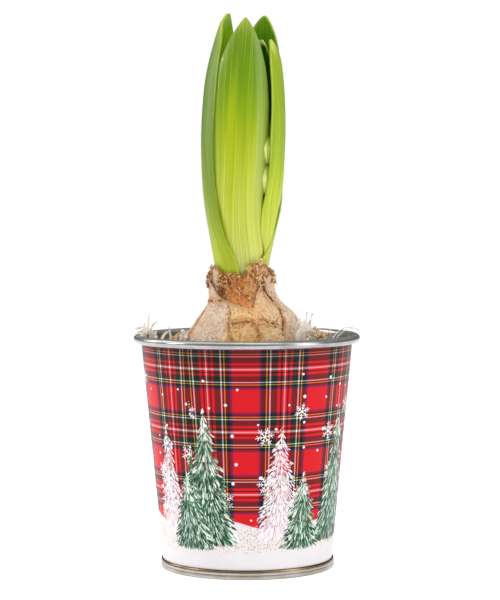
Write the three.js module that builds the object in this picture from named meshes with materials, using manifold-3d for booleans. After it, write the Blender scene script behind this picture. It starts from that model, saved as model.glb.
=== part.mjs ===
// A hyacinth in bud, growing from its bulb in a small tapered tin pot.
// Millimetres, +Z up. The origin is the centre of the pot's foot, on the surface it stands on.
import * as THREE from 'three';
import { mergeVertices } from 'three/addons/utils/BufferGeometryUtils.js';
import Module from 'manifold-3d';

const wasm = await Module();
wasm.setup();

// Driving dimensions of the tin pot
const rimRadius = 50;
const potHeight = 103;
const beadRadius = 1.85;
const sheet = 0.5;
const wallRadiusBelowBead = 46.8;
const wallRadiusAtFoot = 37.5;
const footRadius = 38.35;
const footHeight = 4.1;
const baseRecess = 2.6;
const seamSheet = 0.55;
const clearance = 0.3;
const seatGap = 0.5;
const potSegments = 48;

// Driving dimensions of the soil and the bulb
const soilTop = 90;
const soilRelief = 0.9;
const bulbCentreX = -1.5;
const bulbRadius = 28.7;
const bulbFoot = 57;
const bulbWidestHeight = 90;
const neckTop = 114;
const socketRadius = 12.45;
const socketFloor = 111;
const plateRadius = 9;
const plateHeight = 3;
const rootHoleRadius = 12.5;
const rootHoleFloor = 14;
const rootCount = 13;
const rootRadius = 0.9;

// Driving dimensions of the shoot, the leaves stand round one slightly leaning axis
const shootAxisLow = { z: 115, x: -2.4 };
const shootAxisHigh = { z: 245, x: -0.6 };
const leafBase = socketFloor + clearance;
const leafRows = 19;
const leafColumns = 9;

// Driving dimensions of the flower spike
const stemRadius = 5.6;
const spikeLow = 150;
const spikeHigh = 199;
const spikeCoreRadius = 8.4;
const budLength = 13.8;
const budRadius = 3.2;

const degree = Math.PI / 180;

// Numbers between 0 and 1 that come out the same each time.
function seededRandom(seed) {
  let state = seed;
  return () => {
    state = (state + 0x6d2b79f5) | 0;
    let mixed = Math.imul(state ^ (state >>> 15), 1 | state);
    mixed = (mixed + Math.imul(mixed ^ (mixed >>> 7), 61 | mixed)) ^ mixed;
    return ((mixed ^ (mixed >>> 14)) >>> 0) / 4294967296;
  };
}

// A smooth value along a line, through a few [place, value] pairs.
function smoothThrough(pairs) {
  const places = pairs.map((pair) => pair[0]);
  const values = pairs.map((pair) => pair[1]);
  const curve = new THREE.CubicInterpolant(places, values, 1);
  const last = places[places.length - 1];
  return (place) => curve.evaluate(THREE.MathUtils.clamp(place, places[0], last))[0];
}

function shootAxisX(z) {
  const lean = (shootAxisHigh.x - shootAxisLow.x) / (shootAxisHigh.z - shootAxisLow.z);
  return shootAxisLow.x + lean * (z - shootAxisLow.z);
}

// A geometry with only positions, its shared corners merged and its empty triangles dropped.
function bareGeometry(geometry) {
  const bare = geometry.clone();
  bare.deleteAttribute('normal');
  bare.deleteAttribute('uv');
  const merged = mergeVertices(bare, 1e-4);
  const corners = merged.index.array;
  const kept = [];
  for (let i = 0; i < corners.length; i += 3) {
    const [a, b, c] = [corners[i], corners[i + 1], corners[i + 2]];
    if (a !== b && b !== c && c !== a) {
      kept.push(a, b, c);
    }
  }
  merged.setIndex(kept);
  return merged;
}

function solidFrom(geometry) {
  const bare = bareGeometry(geometry);
  return new wasm.Manifold(new wasm.Mesh({
    numProp: 3,
    vertProperties: new Float32Array(bare.attributes.position.array),
    triVerts: new Uint32Array(bare.index.array),
  }));
}

function geometryFrom(solid) {
  const mesh = solid.getMesh();
  const geometry = new THREE.BufferGeometry();
  geometry.setAttribute('position', new THREE.BufferAttribute(mesh.vertProperties, 3));
  geometry.setIndex(new THREE.BufferAttribute(mesh.triVerts, 1));
  return geometry;
}

function joined(solids) {
  return solids.reduce((whole, next) => whole.add(next));
}

// A solid turned round the Z axis from a profile of [radius, height] points, listed from the
// bottom outwards and up. closesOnItself is for a ring that doesn't reach the axis.
function turned(profile, segments, closesOnItself = false) {
  const points = profile.map(([radius, height]) => new THREE.Vector2(radius, height));
  if (closesOnItself) {
    points.push(points[0].clone());
  }
  const geometry = new THREE.LatheGeometry(points, segments);
  geometry.rotateX(Math.PI / 2);
  return bareGeometry(geometry);
}

// Moves each corner of a geometry by a function of where it is.
function reshaped(geometry, move) {
  const position = geometry.attributes.position;
  const point = new THREE.Vector3();
  for (let i = 0; i < position.count; i += 1) {
    point.fromBufferAttribute(position, i);
    move(point);
    position.setXYZ(i, point.x, point.y, point.z);
  }
  return geometry;
}

// A sheet with thickness: an outer and an inner face over the same rows and columns, split into
// triangles alike, and joined along their edges. point(row, column, face) gives each corner, with
// row and column from 0 to 1 and face 0 outside, 1 inside. wraps closes the sheet into a sleeve.
function sheetSolid(rows, columns, wraps, point) {
  const positions = [];
  const spans = wraps ? columns : columns - 1;
  for (const face of [0, 1]) {
    for (let row = 0; row < rows; row += 1) {
      for (let column = 0; column < columns; column += 1) {
        positions.push(...point(row / (rows - 1), column / spans, face).toArray());
      }
    }
  }
  const at = (row, column, face) => (face * rows + row) * columns + (column % columns);
  const corners = [];
  const quad = (a, b, c, d) => corners.push(a, b, c, a, c, d);
  for (let row = 0; row < rows - 1; row += 1) {
    for (let column = 0; column < spans; column += 1) {
      const around = column + 1;
      quad(at(row, column, 0), at(row, around, 0), at(row + 1, around, 0), at(row + 1, column, 0));
      quad(at(row + 1, around, 1), at(row, around, 1), at(row, column, 1), at(row + 1, column, 1));
    }
  }
  const last = rows - 1;
  for (let column = 0; column < spans; column += 1) {
    const around = column + 1;
    quad(at(0, column, 1), at(0, around, 1), at(0, around, 0), at(0, column, 0));
    quad(at(last, column, 0), at(last, around, 0), at(last, around, 1), at(last, column, 1));
  }
  if (!wraps) {
    for (let row = 0; row < last; row += 1) {
      quad(at(row, 0, 1), at(row, 0, 0), at(row + 1, 0, 0), at(row + 1, 0, 1));
      quad(at(row, spans, 0), at(row, spans, 1), at(row + 1, spans, 1), at(row + 1, spans, 0));
    }
  }
  const geometry = new THREE.BufferGeometry();
  geometry.setAttribute('position', new THREE.Float32BufferAttribute(positions, 3));
  geometry.setIndex(corners);
  return geometry;
}

const group = new THREE.Group();

function addPiece(name, geometry, colour, roughness, metalness = 0) {
  const material = new THREE.MeshStandardMaterial({ color: colour, roughness, metalness });
  const mesh = new THREE.Mesh(geometry, material);
  mesh.name = name;
  group.add(mesh);
}

// The tin wall: straight in the seam, a cone above it, and a bead curled outwards at the rim.
const beadHeight = potHeight - beadRadius;
const beadCentre = rimRadius - beadRadius;
const wallFoot = seamSheet + clearance;

function wallRadius(z) {
  const share = (z - footHeight) / (beadHeight - footHeight);
  return THREE.MathUtils.lerp(wallRadiusAtFoot, wallRadiusBelowBead, Math.max(share, 0));
}

function potWall() {
  const curl = (radius, turn) => [
    beadCentre + radius * Math.cos(turn * degree),
    beadHeight + radius * Math.sin(turn * degree),
  ];
  const turns = [180, 140, 100, 60, 20, -20, -60, -100, -140];
  const profile = [
    [wallRadiusAtFoot, wallFoot],
    [wallRadiusAtFoot, footHeight],
    ...turns.map((turn) => curl(beadRadius - sheet, turn)),
    ...turns.reverse().map((turn) => curl(beadRadius, turn)),
    [wallRadiusAtFoot - sheet, footHeight],
    [wallRadiusAtFoot - sheet, wallFoot],
  ];
  return turned(profile, potSegments, true);
}

// The tin base: a recessed disc, and round it the seam that the wall's lower edge stands in.
const seamOuterFace = wallRadiusAtFoot + clearance;
const seamInnerFace = wallRadiusAtFoot - sheet - clearance;
const discTop = baseRecess + seamSheet;

function potBase() {
  const profile = [
    [0, baseRecess],
    [seamInnerFace - seamSheet, baseRecess],
    [seamInnerFace - seamSheet, 0],
    [footRadius, 0],
    [footRadius, footHeight],
    [seamOuterFace, footHeight],
    [seamOuterFace, seamSheet],
    [seamInnerFace, seamSheet],
    [seamInnerFace, discTop],
    [0, discTop],
  ];
  return turned(profile, potSegments);
}

// The bulb's skin, as a radius and a centre at each height. The neck's inner tunic carries it on
// upwards from neckTop. The shoulder leans a little to +X.
const skinRadius = smoothThrough([
  [bulbFoot, 8.5], [62, 16.5], [70, 23.4], [80, 27.6], [bulbWidestHeight, bulbRadius], [101, 26.7],
  [107, 23.3], [110, 21.8], [neckTop, 18.4], [117, 15.7], [120, 14.5], [126, 14.1], [131, 14.4],
  [138, 15.6],
]);
const skinAxisX = smoothThrough([
  [bulbFoot, bulbCentreX], [98, bulbCentreX], [105, -0.6], [110, 0.3], [neckTop, 0], [118, -1.2],
  [122, -2.1], [138, -2.1],
]);

function bulb() {
  const rows = 12;
  const profile = [[0, bulbFoot]];
  for (let row = 0; row <= rows; row += 1) {
    const z = THREE.MathUtils.lerp(bulbFoot, neckTop, row / rows);
    profile.push([skinRadius(z), z]);
  }
  profile.push([0, neckTop]);
  const ribDepth = 0.035;
  const ribs = 9;
  const body = reshaped(turned(profile, 36), (point) => {
    const around = Math.atan2(point.y, point.x);
    const wave = Math.cos(ribs * around + Math.sin(2 * around)) * 0.5 + 0.5;
    const fade = THREE.MathUtils.smoothstep(neckTop - point.z, 0, 20);
    const shrink = 1 - ribDepth * wave * fade;
    point.x = point.x * shrink + skinAxisX(point.z);
    point.y *= shrink;
  });
  const socket = new THREE.CylinderGeometry(socketRadius, socketRadius, 2 * (neckTop - socketFloor), 36);
  socket.rotateX(Math.PI / 2);
  socket.translate(shootAxisX(socketFloor), 0, neckTop);
  return geometryFrom(solidFrom(body).subtract(solidFrom(socket)));
}

// The roots grow from a plate under the bulb and hang in a plain hole in the soil.
function rootTuft() {
  const random = seededRandom(11);
  const plateTop = bulbFoot - clearance;
  const plate = new THREE.CylinderGeometry(plateRadius - 0.5, plateRadius - 2, plateHeight, 18);
  plate.rotateX(Math.PI / 2);
  plate.translate(bulbCentreX, 0, plateTop - plateHeight / 2);
  const section = new THREE.Shape();
  for (let side = 0; side < 4; side += 1) {
    const turn = side * 90 * degree;
    const corner = [rootRadius * Math.cos(turn), rootRadius * Math.sin(turn)];
    if (side === 0) {
      section.moveTo(...corner);
    } else {
      section.lineTo(...corner);
    }
  }
  const solids = [solidFrom(plate)];
  for (let root = 0; root < rootCount; root += 1) {
    const around = root * 137.5 * degree;
    const start = (plateRadius - 3) * Math.sqrt((root + 0.5) / rootCount);
    const spread = Math.min(start + 3 + 1.5 * random(), rootHoleRadius - 2);
    const end = rootHoleFloor + 2 + 14 * random();
    const sway = 20 * degree * (random() - 0.5);
    const at = (radius, turn, z) => new THREE.Vector3(
      bulbCentreX + radius * Math.cos(turn),
      radius * Math.sin(turn),
      z,
    );
    const path = new THREE.CatmullRomCurve3([
      at(start, around, plateTop - plateHeight / 2),
      at((start + spread) / 2 + 1, around + sway, plateTop - 12),
      at(spread, around - sway, (plateTop + end) / 2),
      at(spread - 1, around + sway, end),
    ]);
    const strand = new THREE.ExtrudeGeometry(section, { steps: 4, extrudePath: path, bevelEnabled: false });
    solids.push(solidFrom(strand));
  }
  return geometryFrom(joined(solids));
}

// Crumbly soil that fills the tin, with a bowl for the bulb and a plain hole for its roots.
function soilHeight(x, y) {
  const waves = Math.sin(0.4 * x + 1.3) * Math.sin(0.36 * y + 0.4) + 0.5 * Math.sin(0.5 * x - 0.4 * y);
  return soilTop + (soilRelief * waves) / 1.5;
}

function pottingSoil() {
  const soilRadius = (z) => wallRadius(z) - sheet - seatGap;
  const low = discTop + clearance;
  const highest = soilTop - 0.5;
  const profile = [[0, low], [soilRadius(low), low], [soilRadius(footHeight), footHeight]];
  profile.push([soilRadius(highest), highest]);
  for (const radius of [42, 38, 34, 30, 24]) {
    profile.push([radius, soilTop]);
  }
  profile.push([0, soilTop]);
  const fill = reshaped(turned(profile, 40), (point) => {
    if (point.z > highest - 1) {
      point.z += soilHeight(point.x, point.y) - soilTop;
    }
  });
  const bowlProfile = [[0, bulbFoot - clearance]];
  const bowlRows = 9;
  const bowlTop = soilTop + 4;
  for (let row = 0; row <= bowlRows; row += 1) {
    const z = THREE.MathUtils.lerp(bulbFoot - clearance, bowlTop, row / bowlRows);
    bowlProfile.push([skinRadius(z) + seatGap, z]);
  }
  bowlProfile.push([0, bowlTop]);
  const bowl = turned(bowlProfile, 32);
  bowl.translate(bulbCentreX, 0, 0);
  const holeDepth = bulbFoot + 4 - rootHoleFloor;
  const hole = new THREE.CylinderGeometry(rootHoleRadius, rootHoleRadius, holeDepth, 24);
  hole.rotateX(Math.PI / 2);
  hole.translate(bulbCentreX, 0, rootHoleFloor + holeDepth / 2);
  return geometryFrom(solidFrom(fill).subtract(solidFrom(bowl)).subtract(solidFrom(hole)));
}

// The papery tunics round the neck, each a crinkled sleeve with a torn upper edge.
function crinkle(around, z, seed) {
  const folds = Math.sin(7 * around + 0.35 * z + seed) + Math.sin(13 * around - 0.22 * z + 2 * seed);
  return 0.5 + folds / 4;
}

function tornSleeve({ columns, rows, thickness, low, high, radius, tear, seed }) {
  const random = seededRandom(seed);
  const tears = Array.from({ length: columns }, () => tear * (random() - 0.5));
  return sheetSolid(rows, columns, true, (row, column, face) => {
    const index = Math.round(column * columns) % columns;
    const around = 2 * Math.PI * column;
    const top = high(around) + tears[index];
    const bottom = low(around) + 0.3 * Math.abs(tears[(index + 5) % columns]);
    const z = THREE.MathUtils.lerp(bottom, top, row);
    const reach = radius(around, z) - face * thickness;
    return new THREE.Vector3(skinAxisX(z) + reach * Math.cos(around), reach * Math.sin(around), z);
  });
}

// Heights dip or rise round one direction by a bell-shaped amount.
function bell(around, centre, width) {
  const away = Math.atan2(Math.sin(around - centre * degree), Math.cos(around - centre * degree));
  return Math.exp(-((away / (width * degree)) ** 2));
}

function tunicInner() {
  const thickness = 0.7;
  return tornSleeve({
    columns: 36,
    rows: 7,
    thickness,
    seed: 5,
    tear: 2.4,
    low: () => neckTop + clearance,
    high: (around) => 130.5 + 4.5 * bell(around, -45, 38) + 1.5 * bell(around, 120, 60),
    radius: (around, z) => skinRadius(z) - 0.25 * crinkle(around, z, 1),
  });
}

function tunicOuter() {
  const thickness = 0.7;
  return tornSleeve({
    columns: 36,
    rows: 9,
    thickness,
    seed: 9,
    tear: 1.2,
    low: () => 105,
    high: (around) => 126.5 - 11 * bell(around, -95, 30),
    radius: (around, z) => {
      const flare = THREE.MathUtils.smoothstep(z, 119, 126) * (0.2 + bell(around, 180, 50));
      return skinRadius(z) + seatGap + thickness + 0.3 * crinkle(around, z, 4) + flare;
    },
  });
}

// A channelled leaf blade. Its section is an arc whose centre lies forward of the shoot's axis,
// towards the blade's middle. The edges are angles round that centre at each height. Above
// closeFrom they run together to the tip.
const leaves = {
  leaf_left: {
    colour: 0x8ca83e,
    tip: 244,
    closeFrom: 231,
    closePower: 0.5,
    tipAngle: 172,
    forward: [[111, 0], [245, 0]],
    radius: [[111, 12], [131, 12.9], [142, 14.4], [162, 17.3], [186, 18.8], [204, 18.4], [217, 17.1],
      [232, 13.6], [239, 11.3], [244, 7.6]],
    from: [[111, 106], [135, 112], [155, 120], [245, 119]],
    to: [[111, 267], [130, 266], [147, 238.5], [160, 231.4], [175, 226], [217, 223.6], [245, 216]],
    thickness: 1.95,
  },
  leaf_back: {
    colour: 0x5f9a1e,
    tip: 243.6,
    closeFrom: 214,
    closePower: 0.62,
    tipAngle: 50,
    forward: [[111, 0], [245, 0]],
    radius: [[111, 12], [131, 12.9], [142, 14.6], [160, 17.2], [186, 18.6], [204, 18.3], [219, 17.7],
      [233, 16.2], [243.6, 13.9]],
    from: [[111, -58], [133, -54], [147, -22], [157, -6], [170, 13], [180, 21], [245, 21]],
    to: [[111, 98], [150, 103], [245, 106]],
    thickness: 1.95,
  },
  leaf_front: {
    colour: 0x86a814,
    tip: 240.7,
    closeFrom: 199,
    closePower: 0.75,
    tipAngle: -92,
    forward: [[111, 0], [140, 0.6], [165, 3.2], [200, 3.4], [225, 3], [241, 2]],
    radius: [[111, 9.7], [131, 10.6], [147, 13], [162, 15.2], [185, 16.2], [205, 16], [222, 14.4],
      [234, 12], [240.7, 9.4]],
    from: [[111, -165], [133, -165], [150, -160], [170, -158], [241, -158]],
    to: [[111, -28], [137, -30], [147, -41], [160, -43], [180, -38], [241, -32]],
    thickness: 2,
  },
  leaf_right: {
    colour: 0xa9c03a,
    tip: 232,
    closeFrom: 224,
    closePower: 0.5,
    tipAngle: -35,
    forward: [[111, 0], [245, 0]],
    radius: [[111, 9.7], [131, 10.4], [147, 12.5], [157, 13.9], [165, 15.1], [178, 17.6], [190, 18.3],
      [206, 17.8], [219, 16.6], [228, 15], [232, 13.4]],
    from: [[111, -23], [137, -24], [147, -36], [157, -46], [245, -47]],
    to: [[111, 60], [132, 58], [150, 38], [165, 14], [178, 16], [200, 17], [213, 9], [223, -6], [232, -22]],
    thickness: 1.9,
  },
  leaf_inner: {
    colour: 0xb9c878,
    tip: 232.6,
    closeFrom: 218,
    closePower: 0.5,
    tipAngle: 48,
    forward: [[111, 0], [245, 0]],
    radius: [[111, 9.7], [131, 10.5], [147, 12.5], [160, 14.3], [175, 15.7], [205, 15.6], [218, 14],
      [228, 11.4], [232.6, 9.4]],
    from: [[111, 66], [150, 62], [165, 42], [180, 26], [245, 24]],
    to: [[111, 188], [150, 160], [245, 140]],
    thickness: 1.5,
  },
};

function leafBlade(leaf) {
  const radius = smoothThrough(leaf.radius);
  const forward = smoothThrough(leaf.forward);
  const from = smoothThrough(leaf.from);
  const to = smoothThrough(leaf.to);
  const edgeShare = 0.42;
  const tipGap = 0.25;
  return sheetSolid(leafRows, leafColumns, false, (row, column, face) => {
    const rise = 1 - (1 - row) ** 1.7;
    const z = THREE.MathUtils.lerp(leafBase, leaf.tip - tipGap, rise);
    const climb = Math.max(z - leaf.closeFrom, 0) / (leaf.tip - leaf.closeFrom);
    const open = (1 - climb ** 2) ** leaf.closePower;
    const low = leaf.tipAngle + (from(z) - leaf.tipAngle) * open;
    const high = leaf.tipAngle + (to(z) - leaf.tipAngle) * open;
    const angle = THREE.MathUtils.lerp(low, high, column) * degree;
    const middle = ((from(z) + to(z)) / 2) * degree;
    const across = 2 * column - 1;
    const thickness = leaf.thickness * (edgeShare + (1 - edgeShare) * (1 - across ** 2) ** 0.6);
    const shift = forward(z);
    const reach = radius(z) - shift - face * thickness;
    return new THREE.Vector3(
      shootAxisX(z) + shift * Math.cos(middle) + reach * Math.cos(angle),
      shift * Math.sin(middle) + reach * Math.sin(angle),
      z,
    );
  });
}

// The flower spike: a stem and a core, covered by closed buds that stand in staggered rings.
function flowerSpike() {
  const coreProfile = [
    [0, leafBase], [stemRadius - 0.6, leafBase], [stemRadius, 125], [stemRadius + 0.6, spikeLow - 4],
    [spikeCoreRadius, spikeLow + 12], [spikeCoreRadius, spikeHigh - 18], [4, spikeHigh - 6],
    [0, spikeHigh - 3],
  ];
  const core = turned(coreProfile, 14);
  const axisX = shootAxisX((spikeLow + spikeHigh) / 2);
  core.translate(axisX, 0, 0);
  const budProfile = [
    [0, 0], [budRadius * 0.7, budLength * 0.14], [budRadius, budLength * 0.42],
    [budRadius * 0.86, budLength * 0.74], [budRadius * 0.45, budLength * 0.93], [0, budLength],
  ];
  const solids = [solidFrom(core)];
  const rings = [
    { height: 152, reach: 7.4, count: 7, lean: 4 },
    { height: 159, reach: 8.8, count: 7, lean: 2 },
    { height: 168, reach: 8.9, count: 7, lean: 0 },
    { height: 176.5, reach: 7.6, count: 6, lean: -4 },
    { height: 184, reach: 3.6, count: 4, lean: -9 },
  ];
  rings.forEach((ring, level) => {
    for (let bud = 0; bud < ring.count; bud += 1) {
      const around = ((bud + 0.5 * (level % 2)) * 360) / ring.count - 40;
      const shape = turned(budProfile, 5);
      shape.rotateY(ring.lean * degree);
      shape.translate(ring.reach, 0, ring.height);
      shape.rotateZ(around * degree);
      shape.translate(axisX, 0, 0);
      solids.push(solidFrom(shape));
    }
  });
  return geometryFrom(joined(solids));
}

// Wood wool: each bunch is a small flat clump on the soil that thin shavings spring from. Each
// shaving has a point halfway and a tip, as [x, y, z], and its foot is sunk in the clump.
const shavingWidth = 1.3;
const shavingThickness = 0.7;
const clumpHeight = 2;
const clumpGap = 0.65;
const bunches = {
  straw_left: {
    clump: { x: -39, y: 2, length: 9, width: 12 },
    shavings: [
      [[-41.2, 1, 100], [-42.8, 0, 110.6]],
      [[-43, 3, 98], [-45.3, 2.5, 107.5]],
      [[-40.4, -2, 101], [-39.4, -3, 108.4]],
      [[-42.5, 6, 103.9], [-48, 7, 104.6]],
      [[-41, -5, 103.6], [-47.5, -7, 104.3]],
      [[-38, 12, 100], [-34, 18, 103]],
      [[-36.5, -9, 96], [-36, -16, 94]],
    ],
  },
  straw_front: {
    clump: { x: -31, y: -19, length: 9, width: 7 },
    shavings: [
      [[-37, -15.5, 98], [-35.6, -15, 106.2]],
      [[-30, -24, 99], [-31, -26, 101.5]],
      [[-24, -26, 96], [-17, -32, 97]],
      [[-35, -22, 96], [-31, -29, 94.5]],
    ],
  },
  straw_right: {
    clump: { x: 29, y: -20, length: 9, width: 10 },
    shavings: [
      [[24, -19.5, 100], [25.4, -18.5, 111.5]],
      [[26, -17.6, 101], [28.9, -16.5, 110.6]],
      [[22.5, -22.5, 98], [21.6, -21, 106]],
      [[31.5, -18, 99], [30, -16, 103.5]],
      [[35, -14, 98.6], [36.6, -9, 100]],
      [[34.5, -19, 97.5], [36, -14, 99.5]],
      [[20, -29, 96], [12, -33, 97]],
    ],
  },
  straw_back: {
    clump: { x: 8, y: 37, length: 13, width: 7 },
    shavings: [
      [[2, 38, 98], [-7, 39, 99]],
      [[17, 35, 97.5], [25, 31, 98]],
      [[6, 40, 98], [3, 37, 103]],
      [[13, 37, 98], [19, 39, 96]],
      [[20, 33, 95], [31, 24, 96]],
      [[-4, 36, 95], [-16, 36, 96]],
    ],
  },
};

function strawBunch({ clump, shavings }) {
  const bed = new THREE.SphereGeometry(1, 8, 4);
  bed.rotateX(Math.PI / 2);
  bed.scale(clump.length / 2, clump.width / 2, clumpHeight / 2);
  bed.translate(clump.x, clump.y, clumpHeight / 2);
  reshaped(bed, (point) => {
    point.z += soilHeight(point.x, point.y) + clumpGap;
  });
  const section = new THREE.Shape();
  section.moveTo(-shavingWidth / 2, -shavingThickness / 2);
  section.lineTo(shavingWidth / 2, -shavingThickness / 2);
  section.lineTo(shavingWidth / 2, shavingThickness / 2);
  section.lineTo(-shavingWidth / 2, shavingThickness / 2);
  const middleHeight = soilHeight(clump.x, clump.y) + clumpGap + clumpHeight / 2;
  const middle = new THREE.Vector3(clump.x, clump.y, middleHeight);
  const sunk = 0.12;
  const solids = [solidFrom(bed)];
  for (const [halfway, tip] of shavings) {
    const bend = new THREE.Vector3(...halfway);
    const foot = middle.clone().lerp(bend, sunk);
    foot.z = middle.z;
    const path = new THREE.CatmullRomCurve3([foot, bend, new THREE.Vector3(...tip)]);
    const shaving = new THREE.ExtrudeGeometry(section, { steps: 4, extrudePath: path, bevelEnabled: false });
    solids.push(solidFrom(shaving));
  }
  return geometryFrom(joined(solids));
}

addPiece('pot_wall', potWall(), 0xc0282e, 0.35, 0.4);
addPiece('pot_base', potBase(), 0xb9b6b0, 0.3, 0.9);
addPiece('potting_soil', pottingSoil(), 0x4a3426, 0.95);
addPiece('root_tuft', rootTuft(), 0xe6dcc0, 0.7);
addPiece('bulb', bulb(), 0xd8b59c, 0.65);
addPiece('tunic_inner', tunicInner(), 0xb96a2c, 0.6);
addPiece('tunic_outer', tunicOuter(), 0xdcb088, 0.6);
for (const [name, leaf] of Object.entries(leaves)) {
  addPiece(name, leafBlade(leaf), leaf.colour, 0.4);
}
addPiece('flower_spike', flowerSpike(), 0xdfe6b0, 0.5);
for (const [name, bunch] of Object.entries(bunches)) {
  addPiece(name, strawBunch(bunch), 0xe8d9b5, 0.8);
}

export default group;
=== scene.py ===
import math
import bpy
import numpy as np
from mathutils import Matrix, Vector


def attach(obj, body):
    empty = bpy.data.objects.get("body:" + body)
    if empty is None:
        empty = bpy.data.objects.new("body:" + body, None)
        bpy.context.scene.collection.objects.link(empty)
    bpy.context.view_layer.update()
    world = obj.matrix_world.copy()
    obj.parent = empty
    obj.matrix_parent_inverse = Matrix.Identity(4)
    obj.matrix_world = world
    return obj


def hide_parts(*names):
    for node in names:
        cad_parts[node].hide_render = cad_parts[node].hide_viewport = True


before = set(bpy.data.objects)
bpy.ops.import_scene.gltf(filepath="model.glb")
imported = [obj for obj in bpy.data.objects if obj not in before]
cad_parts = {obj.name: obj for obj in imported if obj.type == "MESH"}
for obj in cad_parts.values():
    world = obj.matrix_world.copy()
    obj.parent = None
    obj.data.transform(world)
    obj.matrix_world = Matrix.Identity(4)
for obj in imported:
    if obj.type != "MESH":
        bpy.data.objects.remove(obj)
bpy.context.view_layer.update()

mm = 0.001  # sizes below are millimetres, meshes are built in metres


# Tools for shapes

# A curve through [place, value] pairs whose slope at each pair is the mean of its neighbours' slopes.
def smoothThrough(pairs, at):
    places, values = np.array(pairs, float).T
    at = np.clip(at, places[0], places[-1])
    slopes = np.diff(values) / np.diff(places)
    tangents = np.concatenate([slopes[:1], (slopes[:-1] + slopes[1:]) / 2, slopes[-1:]])
    i = np.clip(np.searchsorted(places, at, "right") - 1, 0, len(places) - 2)
    span = places[i + 1] - places[i]
    t = (at - places[i]) / span
    start = values[i] * (1 + 2 * t) * (1 - t) ** 2 + tangents[i] * span * t * (1 - t) ** 2
    end = values[i + 1] * t ** 2 * (3 - 2 * t) - tangents[i + 1] * span * t ** 2 * (1 - t)
    return start + end


def easeStep(value, low, high):  # 0 below low, 1 above high, an S between
    t = np.clip((value - low) / (high - low), 0, 1)
    return t * t * (3 - 2 * t)


def bell(degrees, centre, width):  # 1 at centre, falling on both sides round the circle
    away = (degrees - centre + 180) % 360 - 180
    return np.exp(-((away / width) ** 2))


# Smooth noise from -1 to 1 on a lattice that closes on itself after `cells` steps round the circle.
def softNoise(turns, along, cells, seed):
    table = np.random.default_rng(seed).random((64, cells))
    x, y = np.mod(turns, 1) * cells, np.asarray(along, float)
    column, row = np.floor(x).astype(int), np.floor(y).astype(int)
    fx, fy = [part * part * (3 - 2 * part) for part in (x - column, y - row)]
    pick = lambda down, right: table[(row + down) % 64, (column + right) % cells]
    low, high = [pick(down, 0) * (1 - fx) + pick(down, 1) * fx for down in (0, 1)]
    return 2 * (low * (1 - fy) + high * fy) - 1


def roughNoise(turns, along, cells, seed, octaves=3):  # softNoise at halving sizes and strengths
    return sum(softNoise(turns, along * 2 ** k, cells * 2 ** k, seed + k) / 2 ** k for k in range(octaves))


def xyz(*parts):  # numbers and arrays, spread over each other, as one array of points
    return np.stack(np.broadcast_arrays(*parts), -1)


def onCircle(middleX, radius, angle, z):
    return xyz(middleX + radius * np.cos(angle), radius * np.sin(angle), z)


# A patch is a grid of points, copies by rows by columns, joined into four-cornered faces that look
# out where rows go up and columns go anticlockwise. The columns close on themselves. So do the rows
# of a ring, and any other patch is closed by faces across its two ends.
def patch(points, fields=None, ring=False, uv=None, material=None):
    points = points.reshape((-1,) + points.shape[-3:])
    copies, rows, columns = points.shape[:3]
    r, c = np.meshgrid(np.arange(rows if ring else rows - 1), np.arange(columns), indexing="ij")
    corners = [(r, c), (r, c + 1), (r + 1, c + 1), (r + 1, c)]
    faces = np.stack([a % rows * columns + b % columns for a, b in corners], -1).reshape(-1, 4)
    if not ring:
        k = np.arange(columns // 2 - 1)
        end = np.stack([k, k + 1, columns - 2 - k, columns - 1 - k], -1)
        faces = np.concatenate([faces, end[:, ::-1], end + (rows - 1) * columns])
    kinds = np.zeros(len(faces)) if material is None else material[r].ravel()
    cornerUv = np.zeros((len(faces), 4, 2))
    if uv is not None:
        cornerUv = np.stack([uv[a, b] for a, b in corners], -2).reshape(-1, 4, 2)
    shift = (np.arange(copies) * rows * columns)[:, None, None]
    return {
        "points": points.reshape(-1, 3),
        "faces": (faces + shift).reshape(-1, 4),
        "uv": np.tile(cornerUv, (copies, 1, 1)),
        "material": np.tile(kinds, copies),
        "fields": {name: np.broadcast_to(value, points.shape).reshape(-1, 3)
                   for name, value in (fields or {}).items()},
    }


def inScene(name, data, matrix=None):
    made = bpy.data.objects.new(name, data)
    if matrix:
        made.matrix_world = matrix
    bpy.context.scene.collection.objects.link(made)
    return made


# One mesh object from patches. Fields become attributes of the points that the finishes read.
def makePiece(name, patches, finishes, node=None, sharpAbove=0):
    joined = lambda key: np.concatenate([p[key] for p in patches])
    starts = np.cumsum([0] + [len(p["points"]) for p in patches])
    faces = np.concatenate([p["faces"] + start for p, start in zip(patches, starts)])
    mesh = bpy.data.meshes.new(name)
    mesh.vertices.add(starts[-1])
    mesh.vertices.foreach_set("co", (joined("points") * mm).astype(np.float32).ravel())
    mesh.loops.add(faces.size)
    mesh.loops.foreach_set("vertex_index", faces.astype(np.int32).ravel())
    mesh.polygons.add(len(faces))
    mesh.polygons.foreach_set("loop_start", np.arange(0, faces.size, 4, dtype=np.int32))
    mesh.polygons.foreach_set("material_index", joined("material").astype(np.int32))
    mesh.polygons.foreach_set("use_smooth", np.ones(len(faces), bool))
    mesh.update(calc_edges=True)
    mesh.uv_layers.new(name="pattern").data.foreach_set("uv", joined("uv").astype(np.float32).ravel())
    for field in patches[0]["fields"]:
        values = np.concatenate([p["fields"][field] for p in patches])
        made = mesh.attributes.new(field, "FLOAT_VECTOR", "POINT")
        made.data.foreach_set("vector", values.astype(np.float32).ravel())
    if sharpAbove:
        mesh.set_sharp_from_angle(angle=math.radians(sharpAbove))
    for finish in finishes:
        mesh.materials.append(finish)
    piece = inScene(name, mesh)
    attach(piece, "root")
    if node:
        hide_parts(node)
    print(name, len(faces) * 2, "triangles")


# Tools for finishes

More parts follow.
